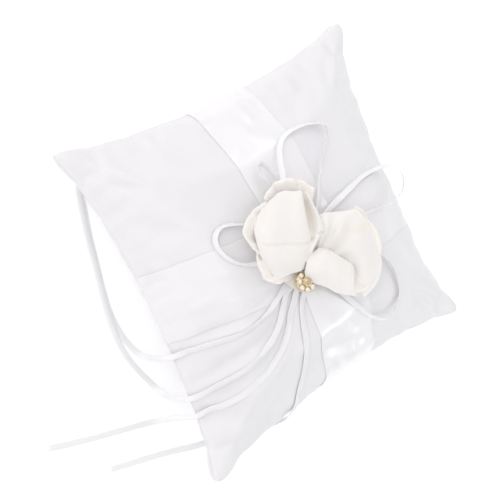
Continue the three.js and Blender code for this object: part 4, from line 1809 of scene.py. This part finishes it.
@dataclass
class Ornament:
    """The cast gold cluster: a golden centre stone in a ring of clear ones, each held by prongs.

    Args:
        plate: the casting's thickness.
        prong: a prong's radius.
        wall: the thickness of the wall round a stone.
        raised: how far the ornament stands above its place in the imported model.
    """

    plate: float = 0.001
    prong: float = 0.00032
    wall: float = 0.0003
    raised: float = 0.0018

    @staticmethod
    def ring(made: bmesh.types.BMesh, radius: float, height: float, segments: int, middle: Vector) -> None:
        """A flat-ended plug of metal, a little narrower at its top."""
        bmesh.ops.create_cone(made, cap_ends=True, segments=segments, radius1=radius, radius2=radius * 0.96,
                              depth=height, matrix=Matrix.Translation(middle + UP * height / 2))

    def cup(self, made: bmesh.types.BMesh, middle: Vector, radius: float, low: float, high: float) -> None:
        """An open collet: a tapering wall with a thickness, round a stone.

        Args:
            made: the bmesh to add to.
            middle: the stone's centre.
            radius: the stone's radius.
            low: the collet's foot.
            high: its rim.
        """
        outside = radius + self.wall * 1.6
        profile = [(outside * 0.82, low), (outside, high - 0.0002), (outside - 0.0001, high),
                   (radius * 0.96, high), (radius * 0.55, low + 0.0002)]
        verts = [made.verts.new((middle.x + r, middle.y, z)) for r, z in profile]
        edges = [made.edges.new(pair) for pair in zip(verts, [*verts[1:], verts[0]])]
        bmesh.ops.spin(made, geom=[*verts, *edges], cent=(middle.x, middle.y, 0), axis=(0, 0, 1),
                       angle=2 * math.pi, steps=28, use_merge=True)

    def prongs(self, made: bmesh.types.BMesh, middle: Vector, radius: float, low: float, high: float,
               count: int, turn: float) -> None:
        """Small claws that lean over a stone's rim.

        Args:
            made: the bmesh to add to.
            middle: the stone's centre.
            radius: the stone's radius.
            low: the claws' foot.
            high: their tips.
            count: how many.
            turn: the first one's angle.
        """
        for i in range(count):
            angle = turn + i * 2 * math.pi / count
            out = Vector((math.cos(angle), math.sin(angle), 0))
            foot = Vector((middle.x, middle.y, low)) + out * (radius + self.prong * 0.9)
            tip = Vector((middle.x, middle.y, high)) + out * (radius * 0.9)
            way = (tip - foot).normalized()
            turned = way.to_track_quat("Z", "Y").to_matrix().to_4x4()
            size = Matrix.Diagonal((self.prong, self.prong, (tip - foot).length / 2, 1))
            bmesh.ops.create_uvsphere(made, u_segments=10, v_segments=8, radius=1.0,
                                      matrix=Matrix.Translation((foot + tip) / 2) @ turned @ size)

    def gem(self, name: str, node: str, finish: Stone, facets: int) -> tuple[Vector, float]:
        """A cut stone with a table, a crown in two rows of facets, a girdle and a foiled pavilion.

        Args:
            name: the piece's name.
            node: the CAD node that it stands for.
            finish: its glass.
            facets: facets round it.

        Returns:
            The stone's centre at its girdle and its radius.
        """
        low, high = (corner + UP * self.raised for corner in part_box(node))
        middle, radius = (low + high) / 2, (high.x - low.x) / 2
        girdle = low.z + (high.z - low.z) * 2 / 3
        made = bmesh.new()
        rows = [(0.04, low.z + 0.0001), (0.55, low.z + (girdle - low.z) * 0.45), (1.0, girdle - 0.00006),
                (1.0, girdle + 0.00006), (0.8, girdle + (high.z - girdle) * 0.62), (0.56, high.z)]
        loops = []
        for k, (share, z) in enumerate(rows):
            turn = math.pi / facets if k % 2 else 0.0
            place = Matrix.Translation((middle.x, middle.y, z)) @ Matrix.Rotation(turn, 4, "Z")
            ring = bmesh.ops.create_circle(made, cap_ends=k in (0, len(rows) - 1), segments=facets,
                                           radius=radius * share, matrix=place)
            verts = set(ring["verts"])
            loops.append([e for e in made.edges if e.verts[0] in verts and e.verts[1] in verts])
        for lower, upper in zip(loops, loops[1:]):
            bridged = bmesh.ops.bridge_loops(made, edges=[*lower, *upper])
            for face in bridged["faces"]:
                face.material_index = 1 if face.calc_center_median().z < girdle - 0.0001 else 0
        bmesh.ops.triangulate(made, faces=[f for f in made.faces if len(f.verts) == 4])
        bmesh.ops.recalc_face_normals(made, faces=made.faces)
        slot = "golden_stone" if finish is AMBER_GLASS else "clear_stone"
        back = GOLD if finish is AMBER_GLASS else FOIL
        piece_of(name, made, [finish.material(), back.material()], slot, node, smooth=False)
        return Vector((middle.x, middle.y, girdle)), radius

    def build(self) -> None:
        """Makes the stones and the casting that holds them."""
        low, high = (corner + UP * self.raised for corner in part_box("ornament_setting"))
        middle, radius = (low + high) / 2, (high.x - low.x) / 2
        stones = [self.gem("golden_centre_stone", "centre_stone", AMBER_GLASS, 12)]
        ring_nodes = sorted(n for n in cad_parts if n.startswith("rhinestone_"))
        for node in ring_nodes:
            stones.append(self.gem("clear_" + node.replace("rhinestone", "stone"), node, CLEAR_GLASS, 8))
        cast = bmesh.new()
        foot = Vector((middle.x, middle.y, low.z))
        self.ring(cast, radius * 0.97, self.plate * 0.8, 40, foot)
        for k, (centre, size) in enumerate(stones):
            self.cup(cast, centre, size, low.z + self.plate * 0.5, centre.z + 0.0001)
            out = Vector((centre.x - middle.x, centre.y - middle.y, 0))
            turn = math.atan2(out.y, out.x) + math.pi / 4 if k else math.pi / 8
            self.prongs(cast, centre, size, low.z + self.plate, centre.z + size * 0.34, 4 if k else 8, turn)
        for i in range(len(ring_nodes)):
            angle = i * 2 * math.pi / len(ring_nodes)
            out = Vector((math.cos(angle), math.sin(angle), 0))
            for share, size, height in ((0.93, 0.00055, 0.0011), (0.5, 0.0004, 0.0026)):
                bead = Matrix.Translation(foot + out * radius * share + UP * height)
                bmesh.ops.create_icosphere(cast, subdivisions=2, radius=size, matrix=bead)
        bmesh.ops.recalc_face_normals(cast, faces=cast.faces)
        piece_of("gold_setting", cast, [GOLD.material()], "setting_metal", "ornament_setting")
        LOG.info("ornament with %d stones", len(stones))


# ---------------------------------------------------------------- studio


@dataclass(frozen=True)
class Softbox:
    """A large soft light.

    Args:
        name: its name.
        towards: where it stands, as a direction from the pillow.
        distance: how far away.
        size: its width and height.
        power: its power in watts.
        colour: its colour.
    """

    name: str
    towards: Point
    distance: float
    size: Place
    power: float
    colour: Point = (1.0, 1.0, 1.0)


@dataclass
class Studio:
    """The camera, a plain pale floor and soft light.

    Args:
        azimuth: the camera's angle round the pillow, in degrees.
        elevation: its angle above the table, in degrees.
        roll: how far it is turned about its line of sight, in degrees.
        distance: how far it is from its aim point.
        aim: that point.
        lens: its focal length in millimetres.
        warm_side: the surround's colour on its bright side.
        cool_side: its colour on the other side.
        warm_towards: where the bright side is.
        lights: the soft lights.
    """

    azimuth: float = -23.36
    elevation: float = 60.14
    roll: float = 85.98
    distance: float = 0.5163
    aim: Point = (-0.0073, -0.0261, 0.04)
    lens: float = 65.616
    warm_side: Point = (1.02, 1.004, 1.02)
    cool_side: Point = (0.585, 0.597, 0.611)
    warm_towards: Point = (-0.4, -0.55, 0.73)

    lights: Sequence[Softbox] = (
        Softbox("window_left", (-0.55, 0.47, 0.69), 0.9, (0.22, 0.3), 0.38),
        Softbox("window_right", (0.74, 0.44, 0.54), 0.9, (0.2, 0.26), 0.6),
        Softbox("warm_fill", (-0.45, -0.45, 0.8), 1.0, (0.5, 0.3), 1.3, (1.0, 0.97, 0.98)),
    )

    def camera(self) -> None:
        """Places the camera round its aim point and rolls it about its own line of sight."""
        data = bpy.data.cameras.new("camera")
        data.lens = self.lens
        data.sensor_width = 36
        data.clip_start, data.clip_end = 0.01, 50
        camera = bpy.data.objects.new("camera", data)
        bpy.context.scene.collection.objects.link(camera)
        a, e = math.radians(self.azimuth), math.radians(self.elevation)
        back = Vector((math.sin(a) * math.cos(e), -math.cos(a) * math.cos(e), math.sin(e)))
        facing = (-back).to_track_quat("-Z", "Y").to_matrix().to_4x4()
        rolled = facing @ Matrix.Rotation(math.radians(self.roll), 4, "Z")
        camera.matrix_world = Matrix.Translation(Vector(self.aim) + back * self.distance) @ rolled
        bpy.context.scene.camera = camera

    def floor(self) -> None:
        """A wide pale floor."""
        made = bmesh.new()
        bmesh.ops.create_grid(made, x_segments=1, y_segments=1, size=6)
        mesh = bpy.data.meshes.new("floor")
        made.to_mesh(mesh)
        made.free()
        material = bpy.data.materials.new("pale_floor")
        material.use_nodes = True
        shader = material.node_tree.nodes["Principled BSDF"]
        shader.inputs["Base Color"].default_value = (0.95, 0.95, 0.95, 1)
        shader.inputs["Roughness"].default_value = 0.9
        shader.inputs["Specular IOR Level"].default_value = 0.1
        shader.inputs["Emission Color"].default_value = (1, 1, 1, 1)
        shader.inputs["Emission Strength"].default_value = 0.16
        mesh.materials.append(material)
        floor = bpy.data.objects.new("floor", mesh)
        bpy.context.scene.collection.objects.link(floor)

    def light(self) -> None:
        """Puts up the soft lights and the bright surround."""
        for box in self.lights:
            data = bpy.data.lights.new(box.name, "AREA")
            data.shape = "RECTANGLE"
            data.size, data.size_y = box.size
            data.energy = box.power
            data.color = box.colour
            lamp = bpy.data.objects.new(box.name, data)
            bpy.context.scene.collection.objects.link(lamp)
            towards = Vector(box.towards).normalized()
            lamp.matrix_world = Matrix.Translation(towards * box.distance) @ (
                (-towards).to_track_quat("-Z", "Y").to_matrix().to_4x4())
        world = bpy.data.worlds.new("surround")
        world.use_nodes = True
        nodes = Nodes(world.node_tree)
        way = nodes.add("TexCoord").outputs["Generated"]
        towards = tuple(Vector(self.warm_towards).normalized())
        share = nodes.add("VectorMath", {0: way, 1: towards}, operation="DOT_PRODUCT").outputs["Value"]
        spread = nodes.add("MapRange", {"Value": share, "From Min": -0.8, "From Max": 0.9}).outputs[0]
        colour = nodes.blend(spread, rgba(self.cool_side), rgba(self.warm_side))
        world.node_tree.links.new(colour, world.node_tree.nodes["Background"].inputs["Color"])
        bpy.context.scene.world = world
        bpy.context.scene.view_settings.view_transform = "Standard"

    def build(self) -> None:
        """Sets up the whole studio."""
        self.camera()
        self.floor()
        self.light()


def main() -> None:
    """Builds the pillow and its studio, reporting each piece."""
    logging.basicConfig(level=logging.INFO, format="%(name)s: %(message)s")
    Studio().build()
    form = PillowForm()
    front, _ = Cushion(form).build()
    wide = WideRibbons(form, Skin(front)).build()
    NarrowRibbons(form, Skin(front, *wide)).build()
    Flower().build()
    Ornament().build()


if __name__ == "__main__":
    main()
